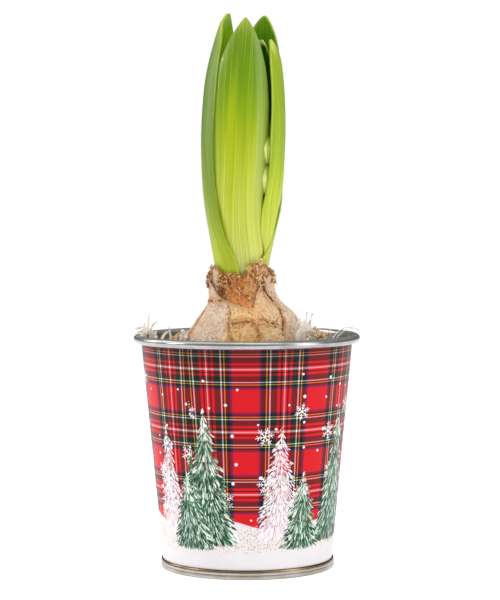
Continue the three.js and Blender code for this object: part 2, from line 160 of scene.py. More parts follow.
class Wire:  # one output in a finish, so that sums on it read as sums
    def __init__(self, finish, socket):
        self.finish, self.socket = finish, socket

    def maths(self, operation, *others):
        return self.finish.maths(operation, self, *others)

    def __abs__(self):
        return self.maths("ABSOLUTE")

    def floor(self):
        return self.maths("FLOOR")

    def root(self):
        return self.maths("SQRT")

    def below(self, other):
        return self.maths("LESS_THAN", other)

    def above(self, other):
        return self.maths("GREATER_THAN", other)

    # 0 at low, 1 at high, an S between, and high may be the smaller of the two
    def ease(self, low, high):
        sockets = {"Value": self, "From Min": low, "From Max": high}
        return self.finish.node("MapRange", {"interpolation_type": "SMOOTHSTEP"}, sockets)

    def other(self, output):  # another output of the same node
        return Wire(self.finish, self.socket.node.outputs[output])


# The four sums, each with its reflected form, so that 1 - mask works
for name, kind in {"add": "ADD", "sub": "SUBTRACT", "mul": "MULTIPLY", "truediv": "DIVIDE"}.items():
    setattr(Wire, f"__{name}__", lambda self, other, kind=kind: self.maths(kind, other))
    setattr(Wire, f"__r{name}__", lambda self, other, kind=kind: self.finish.maths(kind, other, self))


def screen(colour):  # a colour as three numbers up to 255
    return tuple(part / 255 for part in colour) + (1.0,)


class Finish:  # nodes whose colours are mixed as on screen and made linear once, at the end
    def __init__(self, name, owners=bpy.data.materials):
        self.owner = owners.new(name)
        self.owner.use_nodes = True
        self.tree = self.owner.node_tree

    def node(self, kind, settings=None, sockets=None, output=0):
        made = self.tree.nodes.new("ShaderNode" + kind)
        for key, value in (settings or {}).items():
            if key == "stops":
                stops = made.color_ramp.elements
                while len(stops) < len(value):
                    stops.new(1)
                for stop, (place, colour) in zip(stops, value):
                    stop.position, stop.color = place, screen(colour)
            elif key == "between":
                made.color_ramp.interpolation = value
            else:
                setattr(made, key, value)
        for key, value in (sockets or {}).items():
            self.feed(made.inputs[key], value)
        return Wire(self, made.outputs[output])

    def feed(self, socket, value):
        if isinstance(value, Wire):
            self.tree.links.new(value.socket, socket)
        else:
            socket.default_value = value

    def maths(self, operation, *values):
        return self.node("Math", {"operation": operation}, dict(enumerate(values)))

    def split(self, vector):  # the three numbers of a vector or colour
        made = self.node("SeparateXYZ", {}, {0: vector})
        return [made.other(k) for k in range(3)]

    def vector(self, x, y, z=0.0):
        return self.node("CombineXYZ", {}, {0: x, 1: y, 2: z})

    def place(self):  # where on the object, in millimetres
        coordinates = self.node("TexCoord", {}, {}, "Object")
        return self.node("VectorMath", {"operation": "SCALE"}, {0: coordinates, "Scale": 1000.0})

    def field(self, name):
        return self.split(self.node("Attribute", {"attribute_name": name}, {}, "Vector"))

    def noise(self, vector, scale, detail=2.0, roughness=0.5, distortion=0.0):
        sockets = {"Vector": vector, "Scale": scale, "Detail": detail, "Roughness": roughness,
                   "Distortion": distortion}
        return self.node("TexNoise", {}, sockets)

    def ramp(self, value, stops, between="LINEAR"):
        return self.node("ValToRGB", {"stops": stops, "between": between}, {0: value})

    def blend(self, a, b, share, how="MIX"):
        a, b = [colour if isinstance(colour, Wire) else screen(colour) for colour in (a, b)]
        return self.node("Mix", {"data_type": "RGBA", "blend_type": how}, {0: share, 6: a, 7: b}, 2)

    def over(self, colour, *coats):  # coats, each a colour and its share, laid over a colour in turn
        for paint, share in coats:
            colour = self.blend(colour, paint, share)
        return colour

    def done(self, colour, roughness, relief=None, depth=0.0, fixed=None):
        shader = self.tree.nodes["Principled BSDF"].inputs
        self.feed(shader["Base Color"], self.node("Gamma", {}, {"Color": colour, "Gamma": 2.2}))
        self.feed(shader["Roughness"], roughness)
        if relief:
            sockets = {"Height": relief, "Strength": 1.0, "Distance": depth * mm}
            self.feed(shader["Normal"], self.node("Bump", {}, sockets))
        for key, value in (fixed or {}).items():
            shader[key].default_value = value
        return self.owner


# The camera, the pale floor and the studio lights

camera = {"x": 1.47, "y": -950, "z": 169.6, "down": 3.117, "roll": -0.178, "lens": 129.2}


def makeCamera():
    data = bpy.data.cameras.new("camera")
    data.lens = camera["lens"]
    place = Matrix.Translation([camera[key] * mm for key in "xyz"])
    tilt = Matrix.Rotation(math.radians(90 - camera["down"]), 4, "X")
    roll = Matrix.Rotation(math.radians(camera["roll"]), 4, "Z")
    bpy.context.scene.camera = inScene("camera", data, place @ tilt @ roll)


studio = {
    "floorReach": 6000, "floorColour": (250, 250, 250), "floorShade": (246, 246, 246), "floorGlow": 0.6,
    "roomLow": 0.16, "roomHigh": 0.52,  # brightness of the room, seen by the object only
    "horizon": (-0.05, 0.7),  # how far up the room turns from the low to the high brightness
    "lamps": [  # where, width, height, power in watts, and the height each is turned to
        {"name": "leftBox", "at": (-760, 330, 520), "size": (300, 600), "watts": 1.9, "towards": 200},
        {"name": "rightBox", "at": (730, -400, 330), "size": (360, 900), "watts": 2.6, "towards": 130},
        {"name": "stripBox", "at": (-780, -150, 460), "size": (24, 420), "watts": 1.4, "towards": 180},
        {"name": "topBox", "at": (-150, -260, 1000), "size": (1900, 700), "watts": 4.6, "towards": 100},
    ],
}


# The floor is near white with a slow mottle and a faint glow. The room is white light that grows
# upwards, and plain white where the camera sees it.
def makeStudio():
    white = (1, 1, 1, 1)
    finish = Finish("floorPaint")
    mottle = finish.noise(finish.place(), 0.02, 3.0)
    colour = finish.blend(studio["floorColour"], studio["floorShade"], mottle)
    glow = {"Emission Color": white, "Emission Strength": studio["floorGlow"]}
    reach = studio["floorReach"] * mm
    corners = [(-reach, -reach, 0), (reach, -reach, 0), (reach, reach, 0), (-reach, reach, 0)]
    mesh = bpy.data.meshes.new("floor")
    mesh.from_pydata(corners, [], [(0, 1, 2, 3)])
    mesh.materials.append(finish.done(colour, 0.8, fixed=glow))
    inScene("floor", mesh)
    for lamp in studio["lamps"]:
        data = bpy.data.lights.new(lamp["name"], "AREA")
        data.shape, data.energy = "RECTANGLE", lamp["watts"]
        data.size, data.size_y = [side * mm for side in lamp["size"]]
        at = Vector(lamp["at"]) * mm
        turn = (at - Vector((0, 0, lamp["towards"] * mm))).to_track_quat("Z", "Y").to_matrix().to_4x4()
        inScene(lamp["name"], data, Matrix.Translation(at) @ turn)
    room = Finish("room", bpy.data.worlds)
    up = room.split(room.node("TexCoord", {}, {}, "Generated"))[2]
    gain = studio["roomHigh"] - studio["roomLow"]
    strengths = (up.ease(*studio["horizon"]) * gain + studio["roomLow"], 1.0)
    lit, seen = [room.node("Background", {}, {"Color": white, "Strength": s}) for s in strengths]
    fromCamera = room.node("LightPath", {}, {}, "Is Camera Ray")
    surface = room.node("MixShader", {}, {0: fromCamera, 1: lit, 2: seen})
    room.feed(room.tree.nodes["World Output"].inputs["Surface"], surface)
    bpy.context.scene.world = room.owner
    bpy.context.scene.view_settings.view_transform = "Standard"


makeCamera()
makeStudio()
print("camera and studio ready")


# The tin: bright metal, and a printed wall

metal = {
    "brightTin": {"light": (184, 183, 180), "dark": (140, 139, 138), "rough": 0.18},
    # the inside is the bright tin made darker, as painted shade inside the pot
    "shadedInsideTin": {"light": (166, 163, 159), "dark": (122, 119, 115), "rough": 0.26},
    "footTin": {
        "light": (206, 204, 200), "dark": (158, 156, 152), "rough": 0.22, "warm": (180, 160, 136),
        "warmth": 0.3, "lines": [  # height and tone of painted reflections and painted shade
            (0, (160, 158, 156)), (0.5, (236, 234, 232)), (1.5, (236, 234, 232)), (1.9, (150, 146, 142)),
            (2.3, (250, 248, 246)), (3.0, (214, 208, 200)), (3.25, (130, 118, 106)), (3.5, (250, 214, 176)),
            (3.8, (214, 170, 130)), (3.98, (90, 74, 62)),
        ],
    },
}


# Bright tinplate: fine rolled lines round the piece and a slow cloudiness shade grey and gloss. The
# foot is warmer, and its tones at set heights are painted reflections and painted shade of the
# rolled seam: bright bands, a golden reflection and dark lines by the groove.
def brightTin(name):
    look = metal[name]
    finish = Finish(name)
    place = finish.place()
    x, y, z = finish.split(place)
    rolled = finish.noise(finish.vector(x * 0.02, y * 0.02, z * 3.0), 1.6, 3.0)
    cloud = finish.noise(place, 0.09, 3.0, 0.6)
    colour = finish.blend(look["light"], look["dark"], (rolled * 0.5 + cloud * 0.5).ease(0.3, 0.75))
    # painted reflections and painted shade, laid on the foot by height
    if "lines" in look:
        colour = finish.blend(colour, look["warm"], cloud.ease(0.35, 0.7) * look["warmth"])
        stops = [(height / 5, tone) for height, tone in look["lines"]]
        tones = finish.ramp((z + (cloud - 0.5) * 0.3) / 5, stops)
        colour = finish.blend(colour, tones, 1.0, "MULTIPLY")
    roughness = look["rough"] + cloud * 0.12 + rolled * 0.06
    return finish.done(colour, roughness, rolled, 0.006, {"Metallic": 1.0})


# The red tartan as stripe widths, in degrees round the tin and millimetres up it, from the middle of
# the broad red band to the white thread that it turns back at.
tartan = {
    "colours": {"red": (210, 14, 30), "blue": (52, 32, 108), "black": (6, 2, 4), "yellow": (240, 206, 70),
                "white": (252, 250, 248), "green": (10, 34, 22)},
    "order": ["red", "blue", "black", "yellow", "black", "white", "green", "red", "black", "red", "white"],
    "around": [7.35, 1.3, 2.45, 0.6, 1.2, 0.8, 3.6, 1.75, 0.95, 1.2, 0.4],
    "up": [4.9, 0.85, 0.95, 0.38, 0.6, 0.5, 2.4, 1.15, 0.62, 0.7, 0.4],
    "upMiddle": 77.5,  # height of the middle of a broad red band
}


# Threads one way: the place is folded back and forth over half a repeat and looked up in a ramp.
def threads(finish, place, widths):
    total = sum(widths)
    starts = np.cumsum([0] + widths[:-1]) / total
    stops = [(start, tartan["colours"][colour]) for start, colour in zip(starts, tartan["order"])]
    return finish.ramp(place.maths("PINGPONG", total) / total, stops, "CONSTANT")


winter = {
    "arc": 0.742,  # millimetres of wall to a degree, at the middle height
    "snowLine": 24.0,
    "snow": (232, 228, 229), "snowShade": (220, 216, 219),
    "stroke": 4.6,  # a brush stroke's length in its widths
    "firs": [  # millimetres on the wall: distance between firs, shift, foot, tip, boughs' reach, stroke width
        {"pitch": 54.8, "shift": 12.0, "foot": 16.0, "tip": 66.0, "tiers": 19, "topReach": 2.4,
         "footReach": 16.5, "open": 1.08, "dab": 0.54, "gap": 0.44, "palette": "white", "seed": 8.0},
        {"pitch": 68.5, "shift": 53.0, "foot": 14.5, "tip": 74.0, "tiers": 19, "topReach": 2.6,
         "footReach": 21.0, "open": 1.05, "dab": 0.62, "gap": 0.6, "palette": "green", "seed": 3.0},
        {"pitch": 54.8, "shift": 0.0, "foot": 12.5, "tip": 46.0, "tiers": 13, "topReach": 2.2,
         "footReach": 16.0, "open": 1.12, "dab": 0.52, "gap": 0.6, "palette": "green", "seed": 5.0},
    ],
    "palettes": {
        "green": [(0, (18, 42, 30)), (0.24, (36, 74, 50)), (0.42, (76, 116, 86)), (0.56, (134, 170, 146)),
                  (0.7, (226, 238, 230))],
        "white": [(0, (180, 148, 160)), (0.18, (222, 204, 212)), (0.38, (240, 235, 239)),
                  (1, (252, 250, 252))],
    },
    "flakes": {"pitch": 17.0, "slant": 0.37, "inset": 0.3, "seed": 0.0, "radius": 4.2, "line": 0.15,
               "lowest": 34.0, "highest": 86.0, "colour": (252, 246, 248)},
    "gold": {"pitch": 1.5, "slant": 0.41, "inset": 0.2, "seed": 4.0, "radius": 0.46, "low": 14.0,
             "high": 20.0, "fade": 4.0, "share": 0.95, "colour": (200, 172, 126)},
    "dots": {"pitch": 10.5, "slant": 0.41, "inset": 0.2, "seed": 9.0, "radius": 0.85, "low": 28.0,
             "high": 90.0, "fade": 3.0, "share": 0.62, "colour": (252, 244, 246)},
}


# A fir of brush strokes, tier under tier. Each tier is a fan of strokes round a point of the trunk:
# a stroke is a cell of angle and distance there, and it is drawn whole if its middle lies inside
# the fan, which leaves the ragged edge of a painted bough. Upper tiers are laid over lower ones.
def paintFir(finish, colour, around, height, fir):
    turn = (around + fir["shift"]) / fir["pitch"]
    index = turn.floor()
    across = (turn - index - 0.5) * fir["pitch"]
    tall = fir["tip"] - fir["foot"]
    down = fir["tip"] - height
    step = tall / fir["tiers"]
    lowest = (down / step).floor()
    strokeLength = fir["dab"] * winter["stroke"]
    for above in range(4):
        tier = lowest - above
        start = tier * step
        share = start / tall
        drop = down - start + 0.6
        fan = fir["topReach"] + (fir["footReach"] - fir["topReach"]) * share
        strokesRound = fan / fir["dab"]
        reach = (across * across + drop * drop).root()
        spot = finish.vector(across.maths("ARCTAN2", drop) * strokesRound, reach / strokeLength,
                             tier * 5.3 + index * 31.7 + fir["seed"])
        cell = finish.node("TexVoronoi", {}, {"Vector": spot, "Scale": 1.0, "Randomness": 0.85}, "Position")
        lots = finish.split(cell.other("Color"))
        middleAngle, middleReach, _ = finish.split(cell)
        middleAngle, middleReach = middleAngle / strokesRound, middleReach * strokeLength
        spread = fir["open"] * (0.3 + 0.7 * share.ease(-0.02, 0.16))
        inside = (abs(middleAngle) / spread).below(1.0) * middleReach.below(fan)
        hang = start + middleReach * middleAngle.maths("COSINE")
        standing = tier.above(-0.5) * hang.below(tall)
        dab = 1 - cell.other("Distance").ease(fir["gap"], fir["gap"] + 0.13)
        frost = lots[0] * 0.7 + 0.3 * lots[1] * (middleReach / fan) + 0.3 * (1 - share.ease(0.0, 0.3))
        paint = finish.ramp(frost - 0.12 * share, winter["palettes"][fir["palette"]])
        colour = finish.blend(colour, paint, inside * standing * dab)
    return colour


# One mark in each square of a slanted grid: the way from its middle, that way's length, and its lots.
def scatter(finish, around, height, marks):
    spotX = around / marks["pitch"]
    column = spotX.floor()
    spotY = height / marks["pitch"] + column * marks["slant"]
    row = spotY.floor()
    seeded = finish.vector(column + marks["seed"], row)
    lots = finish.node("TexWhiteNoise", {"noise_dimensions": "2D"}, {"Vector": seeded}, "Color")
    lots = finish.split(lots)
    inset = marks["inset"]
    x, y = [(spot - cell - inset - (1 - 2 * inset) * lot) * marks["pitch"]
            for spot, cell, lot in ((spotX, column, lots[0]), (spotY, row, lots[1]))]
    return x, y, (x * x + y * y).root(), lots


# Six-armed snow crystals, turned and sized by lot. The angle round a crystal's middle is folded to
# half an arm, and lines are drawn for the arm and two pairs of barbs.
def paintFlakes(finish, colour, around, height, flakes):
    x, y, away, (lotTurn, _, lotSize) = scatter(finish, around, height, flakes)
    radius = flakes["radius"] * (0.72 + 0.4 * lotSize)
    turn = y.maths("ARCTAN2", x) + lotTurn * 2
    folded = turn.maths("PINGPONG", math.pi / 6)
    alongArm, acrossArm = away * folded.maths("COSINE"), away * folded.maths("SINE")
    arm = acrossArm.below(flakes["line"]) * alongArm.below(radius)
    marks = arm.maths("MAXIMUM", away.below(radius * 0.13))
    slope = math.radians(52)
    for start, length in ((0.34, 0.2), (0.6, 0.24)):
        fromBarb = alongArm - radius * start
        offLine = abs(fromBarb * math.sin(slope) - acrossArm * math.cos(slope))
        barb = offLine.below(flakes["line"] * 0.9) * acrossArm.below(radius * length)
        marks = marks.maths("MAXIMUM", barb * fromBarb.above(0.0))
    middle = height - y
    shown = lotSize.above(0.35) * middle.below(flakes["highest"]) * middle.above(flakes["lowest"])
    return finish.blend(colour, flakes["colour"], marks * shown)


# Round dots of snow, or gold specks, kept and sized by lot
def paintDots(finish, colour, around, height, dots):
    _, _, away, (_, _, lotSize) = scatter(finish, around, height, dots)
    low, high, fade = dots["low"], dots["high"], dots["fade"]
    spot = 1 - (away / (dots["radius"] * (0.55 + 0.6 * lotSize))).ease(0.8, 1.1)
    band = height.ease(low - fade, low) * (1 - height.ease(high, high + fade))
    kept = (lotSize * 0.999).below(dots["share"] * band)
    return finish.blend(colour, dots["colour"], spot * kept)


# The printed wall. UV is 100 degrees of print across and 100 mm of height up. Warp and weft are
# averaged as inks are, painted shade darkens the top under the bead, then snow, gold specks,
# crystals, firs and dots are laid over them.
def printedWall():
    finish = Finish("printedTin")
    uvX, uvY, _ = finish.split(finish.node("UVMap", {"uv_map": "pattern"}))
    degrees, height = uvX * 100, uvY * 100
    around = degrees * winter["arc"]
    warp = threads(finish, degrees, tartan["around"])
    weft = threads(finish, height - tartan["upMiddle"], tartan["up"])
    drift = (around * 0.11).maths("SINE") * 1.3 + (around * 0.23).maths("SINE") * 0.7
    ground = 1 - (height + drift).ease(winter["snowLine"] - 0.4, winter["snowLine"] + 0.4)
    tint = finish.noise(finish.vector(around, height), 0.05, 2.0)
    snow = finish.blend(winter["snow"], winter["snowShade"], tint)
    paintedShadeUnderBead = ((70, 0, 6), height.ease(88.0, 100.0) * 0.28)  # painted shade: the print darkens towards the top, under the bead
    colour = finish.over(warp, (weft, 0.5), paintedShadeUnderBead, (snow, ground))
    colour = paintDots(finish, colour, around, height, winter["gold"])
    colour = paintFlakes(finish, colour, around, height, winter["flakes"])
    for fir in winter["firs"]:
        colour = paintFir(finish, colour, around, height, fir)
    colour = paintDots(finish, colour, around, height, winter["dots"])
    orangePeel = finish.noise(finish.place(), 0.5, 2.0)
    fixed = {"Metallic": 0.0, "Specular IOR Level": 0.06, "Coat Roughness": 0.42, "Coat Weight": 0.22}
    return finish.done(colour, 0.34 + orangePeel * 0.06, orangePeel, 0.01, fixed)


tin = {
    "rimRadius": 50.0, "height": 103.0, "bead": 1.85, "sheet": 0.5, "radiusBelowBead": 46.8,
    "radiusAtFoot": 37.5, "footRadius": 38.35, "footHeight": 4.1, "wallFoot": 0.85, "discTop": 3.15,
    "recess": 2.6, "columns": 384, "seam": -34.1, "printMiddle": -0.65, "backSlack": 9.3, "lean": 1.45,
    "lapWidth": 5.0, "lapStep": 0.16, "columnsBase": 256, "printTop": 99.75, "beadFrom": -138,
}
beadHeight = tin["height"] - tin["bead"]


def wallRadius(z):
    share = np.clip((z - tin["footHeight"]) / (beadHeight - tin["footHeight"]), 0, None)
    return tin["radiusAtFoot"] + (tin["radiusBelowBead"] - tin["radiusAtFoot"]) * share


# A profile of [radius, height] points turned round the upright axis, anticlockwise from `start`.
def turned(profile, columns, start=0.0):
    angle = np.radians(start + np.arange(columns) * 360 / columns)
    radius, z = np.asarray(profile, float).T[..., None]
    return onCircle(0, radius, angle, z), angle


def arc(centreRadius, centreHeight, radius, fromTurn, toTurn, count):
    turns = np.radians(np.linspace(fromTurn, toTurn, count))
    return xyz(centreRadius + radius * np.cos(turns), centreHeight + radius * np.sin(turns))


# The wall's outline runs up the outside, round the rolled bead and down the inside. Each point's
# radius gains the lap of the side seam and a slow unevenness of under 0.1 mm.
def makeWall():
    columns, seam, footInside = tin["columns"], tin["seam"], tin["radiusAtFoot"] - tin["sheet"]
    outerZ = np.linspace(tin["footHeight"], tin["printTop"], 46)
    innerZ = np.linspace(beadHeight - 1, tin["footHeight"], 30)
    outer = xyz(wallRadius(outerZ), outerZ)
    bead = arc(tin["rimRadius"] - tin["bead"], beadHeight, tin["bead"], tin["beadFrom"], 180, 40)
    inner = xyz(wallRadius(innerZ) - tin["sheet"], innerZ)
    foot = [[footInside, tin["wallFoot"]], [tin["radiusAtFoot"], tin["wallFoot"]]]
    profile = np.concatenate([outer, bead, inner, foot])
    points, angle = turned(profile, columns, start=seam - 90)
    past = np.degrees(angle) - (seam - 90)  # degrees past the side seam
    z = profile[:, 1:]
    lap = easeStep(past, 0.2, 0.9) * (1 - easeStep(past, 3.5, 3.5 + tin["lapWidth"]))
    uneven = 0.07 * softNoise(past / 360, z / 22, 7, 21) + 0.04 * softNoise(past / 360, z / 9, 15, 22)
    onWall = easeStep(99.8 - z, 0, 4) * easeStep(z, 5, 12)
    gain = (tin["lapStep"] * lap + uneven) * onWall
    radius = np.hypot(points[..., 0], points[..., 1])
    points[..., :2] *= ((radius + gain) / radius)[..., None]
    edges = np.arange(columns + 1) * 360 / columns + seam
    edgeZ = np.append(profile[:, 1], profile[0, 1])[:, None]
    nearSeam = [np.exp(-((away / 16) ** 2)) for away in (edges - seam, seam + 360 - edges)]
    slipping = tin["lean"] * (100 - edgeZ) / 50 * (nearSeam[0] - nearSeam[1])
    printed = edges - tin["printMiddle"] + tin["backSlack"] * easeStep(edges, 80, 280) - slipping
    row = np.arange(len(profile))
    material = (row >= len(outer) - 1) * 1 + (row >= len(outer) + len(bead) - 1)  # print, bead, inside
    walls = patch(points, ring=True, uv=xyz(printed, edgeZ) / 100, material=material)
    finishes = [printedWall(), brightTin("brightTin"), brightTin("shadedInsideTin")]
    makePiece("tinWall", [walls], finishes, "pot_wall", sharpAbove=50)


# The foot: a rounded seam ring with a groove inside it for the wall, round a recessed disc.
def makeBase():
    r, h, recess, discTop = [tin[key] for key in ("footRadius", "footHeight", "recess", "discTop")]
    seamInner = tin["radiusAtFoot"] - tin["sheet"] - 0.3
    groove = tin["radiusAtFoot"] + 0.3
    roll = np.radians(np.linspace(0, 90, 6))
    points, _ = turned(np.concatenate([
        [[0.02, recess], [20, recess + 0.25], [30, recess], [seamInner - 1.2, recess]],
        arc(seamInner - 0.1, 0.45, 0.45, 180, 270, 5),
        arc(r - 0.6, 0.6, 0.6, -90, 0, 6),
        [[r, 1.4], [r - 0.1, 1.8], [r, 2.3]],
        xyz(groove + (r - groove) * np.cos(roll), 2.7 + (h - 2.7) * np.sin(roll)),
        [[groove - 0.05, h - 0.2], [groove, 0.55], [seamInner, 0.55], [seamInner, discTop]],
        [[30, discTop], [20, discTop + 0.25], [0.02, discTop]],
    ]), tin["columnsBase"])
    makePiece("tinBase", [patch(points)], [brightTin("footTin")], "pot_base", sharpAbove=35)


makeWall()
makeBase()
print("tin ready")

# The bulb's dry skin: a radius and an upright axis at each height, shared by the bulb and its tunics

skin = {
    "radius": [[57, 8.5], [62, 16.5], [70, 23.4], [80, 27.6], [90, 28.7], [101, 26.7], [107, 23.3],
               [110, 21.8], [114, 18.4], [117, 15.7], [120, 14.5], [126, 14.1], [131, 14.4], [138, 15.6]],
    "axisX": [[57, -1.5], [98, -1.5], [105, -0.6], [110, 0.3], [114, 0], [118, -1.2], [122, -2.1],
              [138, -2.1]],
    "degree": 0.35,  # millimetres of skin to a degree, near the shoulder
    "ribs": 0.035,  # share of the radius that ribs pull the skin in by
    "cracks": [  # half width, strength, then degrees round the bulb (front -90) and heights
        [1.0, 1.0, [-49, 124], [-45, 122], [-38, 119.6], [-35, 118]],
        [0.38, 0.9, [-35, 118], [-38.5, 114.5], [-44.8, 111.7], [-47.8, 107.3], [-49.2, 105]],
        [0.35, 0.35, [-117.2, 116.7], [-111.7, 113.3], [-110.4, 109.1], [-106, 104.6], [-99, 101]],
        [0.4, 0.4, [-79, 109], [-78.6, 107], [-76.3, 104.6], [-75.6, 100]],
        [0.3, 0.3, [-166.2, 108], [-158, 103.5], [-154.4, 100]],
        [0.45, 0.8, [-168, 115.5], [-165, 111], [-162, 107.5], [-165, 104], [-160, 99], [-162, 96]],
        [0.5, 0.3, [-174, 117.4], [-150, 117.9], [-122, 118.4]],
        [0.7, 0.3, [-108, 108.6], [-98, 109.3], [-90, 109.9], [-80, 108.6]],
        [0.5, 0.45, [-72, 110.4], [-66, 109], [-58, 108.4]],
        [0.35, 0.6, [20, 118], [14, 111], [19, 103], [12, 97]],
        [0.3, 0.5, [78, 121], [86, 113], [80, 106], [90, 98]],
        [0.4, 0.6, [142, 119], [136, 110], [148, 102], [144, 96]],
    ],
}


def skinRadius(z):
    return smoothThrough(skin["radius"], z)


def skinAxisX(z):
    return smoothThrough(skin["axisX"], z)


def ribbed(z, angle):  # the skin's radius between the ribs, which fade out towards the neck
    wave = np.cos(9 * angle + np.sin(2 * angle)) * 0.5 + 0.5
    return skinRadius(z) * (1 - skin["ribs"] * wave * easeStep(114 - z, 0, 20))


def crinkle(radians, z, seed):  # folds of the dry tunics, from 0 to 1
    return 0.5 + (np.sin(7 * radians + 0.35 * z + seed) + np.sin(13 * radians - 0.22 * z + 2 * seed)) / 4


# The way to the nearest crack as a multiple of its half width. A weak crack never comes near nought.
def crackReach(degrees, z):
    x = ((degrees + 180) % 360 - 180) * skin["degree"]
    reach = 99.0
    for width, strength, *line in skin["cracks"]:
        line = np.array(line) * [skin["degree"], 1]
        for (startX, startZ), (runX, runZ) in zip(line, np.diff(line, axis=0)):
            t = np.clip(((x - startX) * runX + (z - startZ) * runZ) / (runX ** 2 + runZ ** 2), 0, 1)
            away = np.hypot(x - startX - t * runX, z - startZ - t * runZ)
            reach = np.minimum(reach, away / width + 1.2 * (1 - strength))
    return reach


# Dry skin of the bulb and its tunics. The ground colour changes round the bulb by zones, fibres,
# clouds and mottles shade it, brown freckles gather by the cracks, the cracks are broken dark lines
# with a rusty seam, and a torn edge has a pale lip over a stain `edgeReach` millimetres wide.
def drySkin(name, look):
    finish = Finish(name)
    crack, edge, lining = finish.field("marks")
    arc, height, _ = finish.field("skin")
    flow = finish.vector(arc, height)
    turn = (arc / (180 * skin["degree"]) + 1) / 2 + (finish.noise(flow, 0.25, 4.0, 0.65) - 0.5) * 0.07
    colour = finish.ramp(turn, [((degrees + 180) / 360, colour) for degrees, colour in look["zones"]])
    fibres = finish.noise(finish.vector(arc * 1.2, height * 0.2), 1.1, 4.0, 0.62, 0.4)
    fine = finish.noise(finish.vector(arc * 3.2, height * 0.5), 1.6, 3.0, 0.65)
    cloud = finish.noise(flow, 0.3, 4.0, 0.65, 0.6)
    mottle = finish.noise(flow, 0.8, 4.0, 0.7, 0.9)
    freckles = finish.noise(flow, 0.9, 5.0, 0.75)
    near = finish.noise(flow, 0.22, 2.0).ease(0.45, 0.62) * 0.6 + (1 - crack.ease(1.0, 8.0)) * 0.8
    wobble = finish.noise(flow, 1.3, 3.0, 0.75) - 0.5
    gaps = finish.noise(flow, 0.6, 3.0, 0.65)
    ragged = crack + wobble * 2.4
    seam = (1 - ragged.ease(0.6, 5.0)) * gaps.ease(0.36, 0.56)
    open = (1 - ragged.ease(0.45, 1.25)) * gaps.ease(0.4, 0.5)
    reach = look["edgeReach"]
    torn = 1 - (edge + wobble * reach).ease(0.0, reach)
    colour = finish.over(
        colour,
        (look["deep"], cloud.ease(0.5, 0.62) * 0.5),
        (look["pale"], fibres.ease(0.48, 0.62) * 0.45),
        (look["pale"], mottle.ease(0.5, 0.6) * 0.6),
        (look["deep"], (1 - mottle).ease(0.52, 0.64) * 0.5),
        (look["deep"], (1 - fine).ease(0.52, 0.66) * 0.35),
        (look["freckle"], freckles.ease(0.53, 0.59) * near * look["freckles"]),
        (look["seam"], seam * 0.75 * look["cracks"]),
        (look["crack"], open * look["cracks"]),
        (look["edge"], torn * look["edgeShare"]),
        (look["lip"], (1 - edge.ease(0.2, 0.5)) * look["lipShare"]),
        (look["inside"], lining * 0.8),
    )
    relief = fibres * 0.7 + fine * 0.35 + freckles * 0.3 + mottle * 0.4 - open * 1.2
    return finish.done(colour, 0.5 + fibres * 0.2, relief, look["relief"], {"Specular IOR Level": 0.3})


bulbLook = {
    "zones": [  # the skin's colour round the bulb, by degrees
        (-180, (220, 190, 166)), (-150, (222, 194, 172)), (-118, (228, 204, 186)), (-108, (240, 196, 124)),
        (-92, (248, 190, 104)), (-78, (242, 184, 110)), (-62, (240, 200, 146)), (-48, (240, 200, 150)),
        (-38, (244, 224, 202)), (0, (238, 212, 186)), (40, (216, 184, 148)), (75, (226, 200, 172)),
        (110, (222, 182, 134)), (140, (216, 192, 170)), (180, (216, 190, 170)),
    ],
    "pale": (246, 230, 210), "deep": (200, 140, 82), "freckle": (128, 80, 44), "freckles": 1.0,
    "seam": (190, 116, 56), "crack": (104, 54, 22), "cracks": 1.0, "edge": (196, 120, 64), "edgeShare": 0.0,
    "edgeReach": 1.0, "lip": (244, 214, 184), "lipShare": 0.0, "inside": (206, 176, 150), "relief": 0.5,
}
bulb = {"columns": 420, "foot": 57.0, "neck": 114.0, "middleX": -1.5, "socket": 12.45, "socketFloor": 111}


# The bulb: its skin from the foot to the neck, then over the lip and down into the leaves' socket.
# Ribs pull the skin in, and cracks are sunk.
def makeBulb():
    columns, foot, neck, socket, floor = [
        bulb[key] for key in ("columns", "foot", "neck", "socket", "socketFloor")]
    z = np.append(foot + 0.02 + 0.4 * np.linspace(0, 1, 3), np.linspace(foot + 1, neck - 0.3, 150))[:, None]
    turns = (np.arange(columns) / columns)[None, :]
    degrees = turns * 360 - 180
    angle = np.radians(degrees)
    uneven = 0.1 * roughNoise(turns, z / 14, 90, 41) + 0.15 * roughNoise(turns, z / 9, 32, 43)
    crack = crackReach(degrees, z)
    sunk = 0.3 * np.exp(-((crack / 1.5) ** 2)) * easeStep(z, 92, 98)
    radius = ribbed(z, angle) + uneven * easeStep(z, 60, 75) - sunk
    inner = [(18.0, neck, 0.2), (12.6, neck, 1.0), (socket, neck - 0.3, 1.0), (socket, floor + 0.1, 1.0),
             (12.0, floor, 1.0), (0.02, floor, 1.0)]  # radius, height, share of the shoot's lean
    rings = [onCircle(shootAxisX(floor) * share, r, angle, h) for r, h, share in inner]
    bottom = onCircle(bulb["middleX"], 0.02, angle, foot)
    points = np.concatenate([bottom, onCircle(skinAxisX(z), radius, angle, z), *rings])
    marks = np.full(points.shape, 9.0)
    marks[1:-len(inner), :, 0] = crack
    marks[..., 2] = 0
    fields = {"marks": marks, "skin": xyz(degrees * skin["degree"], points[..., 2], 0)}
    makePiece("bulbBody", [patch(points, fields)], [drySkin("bulbSkin", bulbLook)], "bulb")


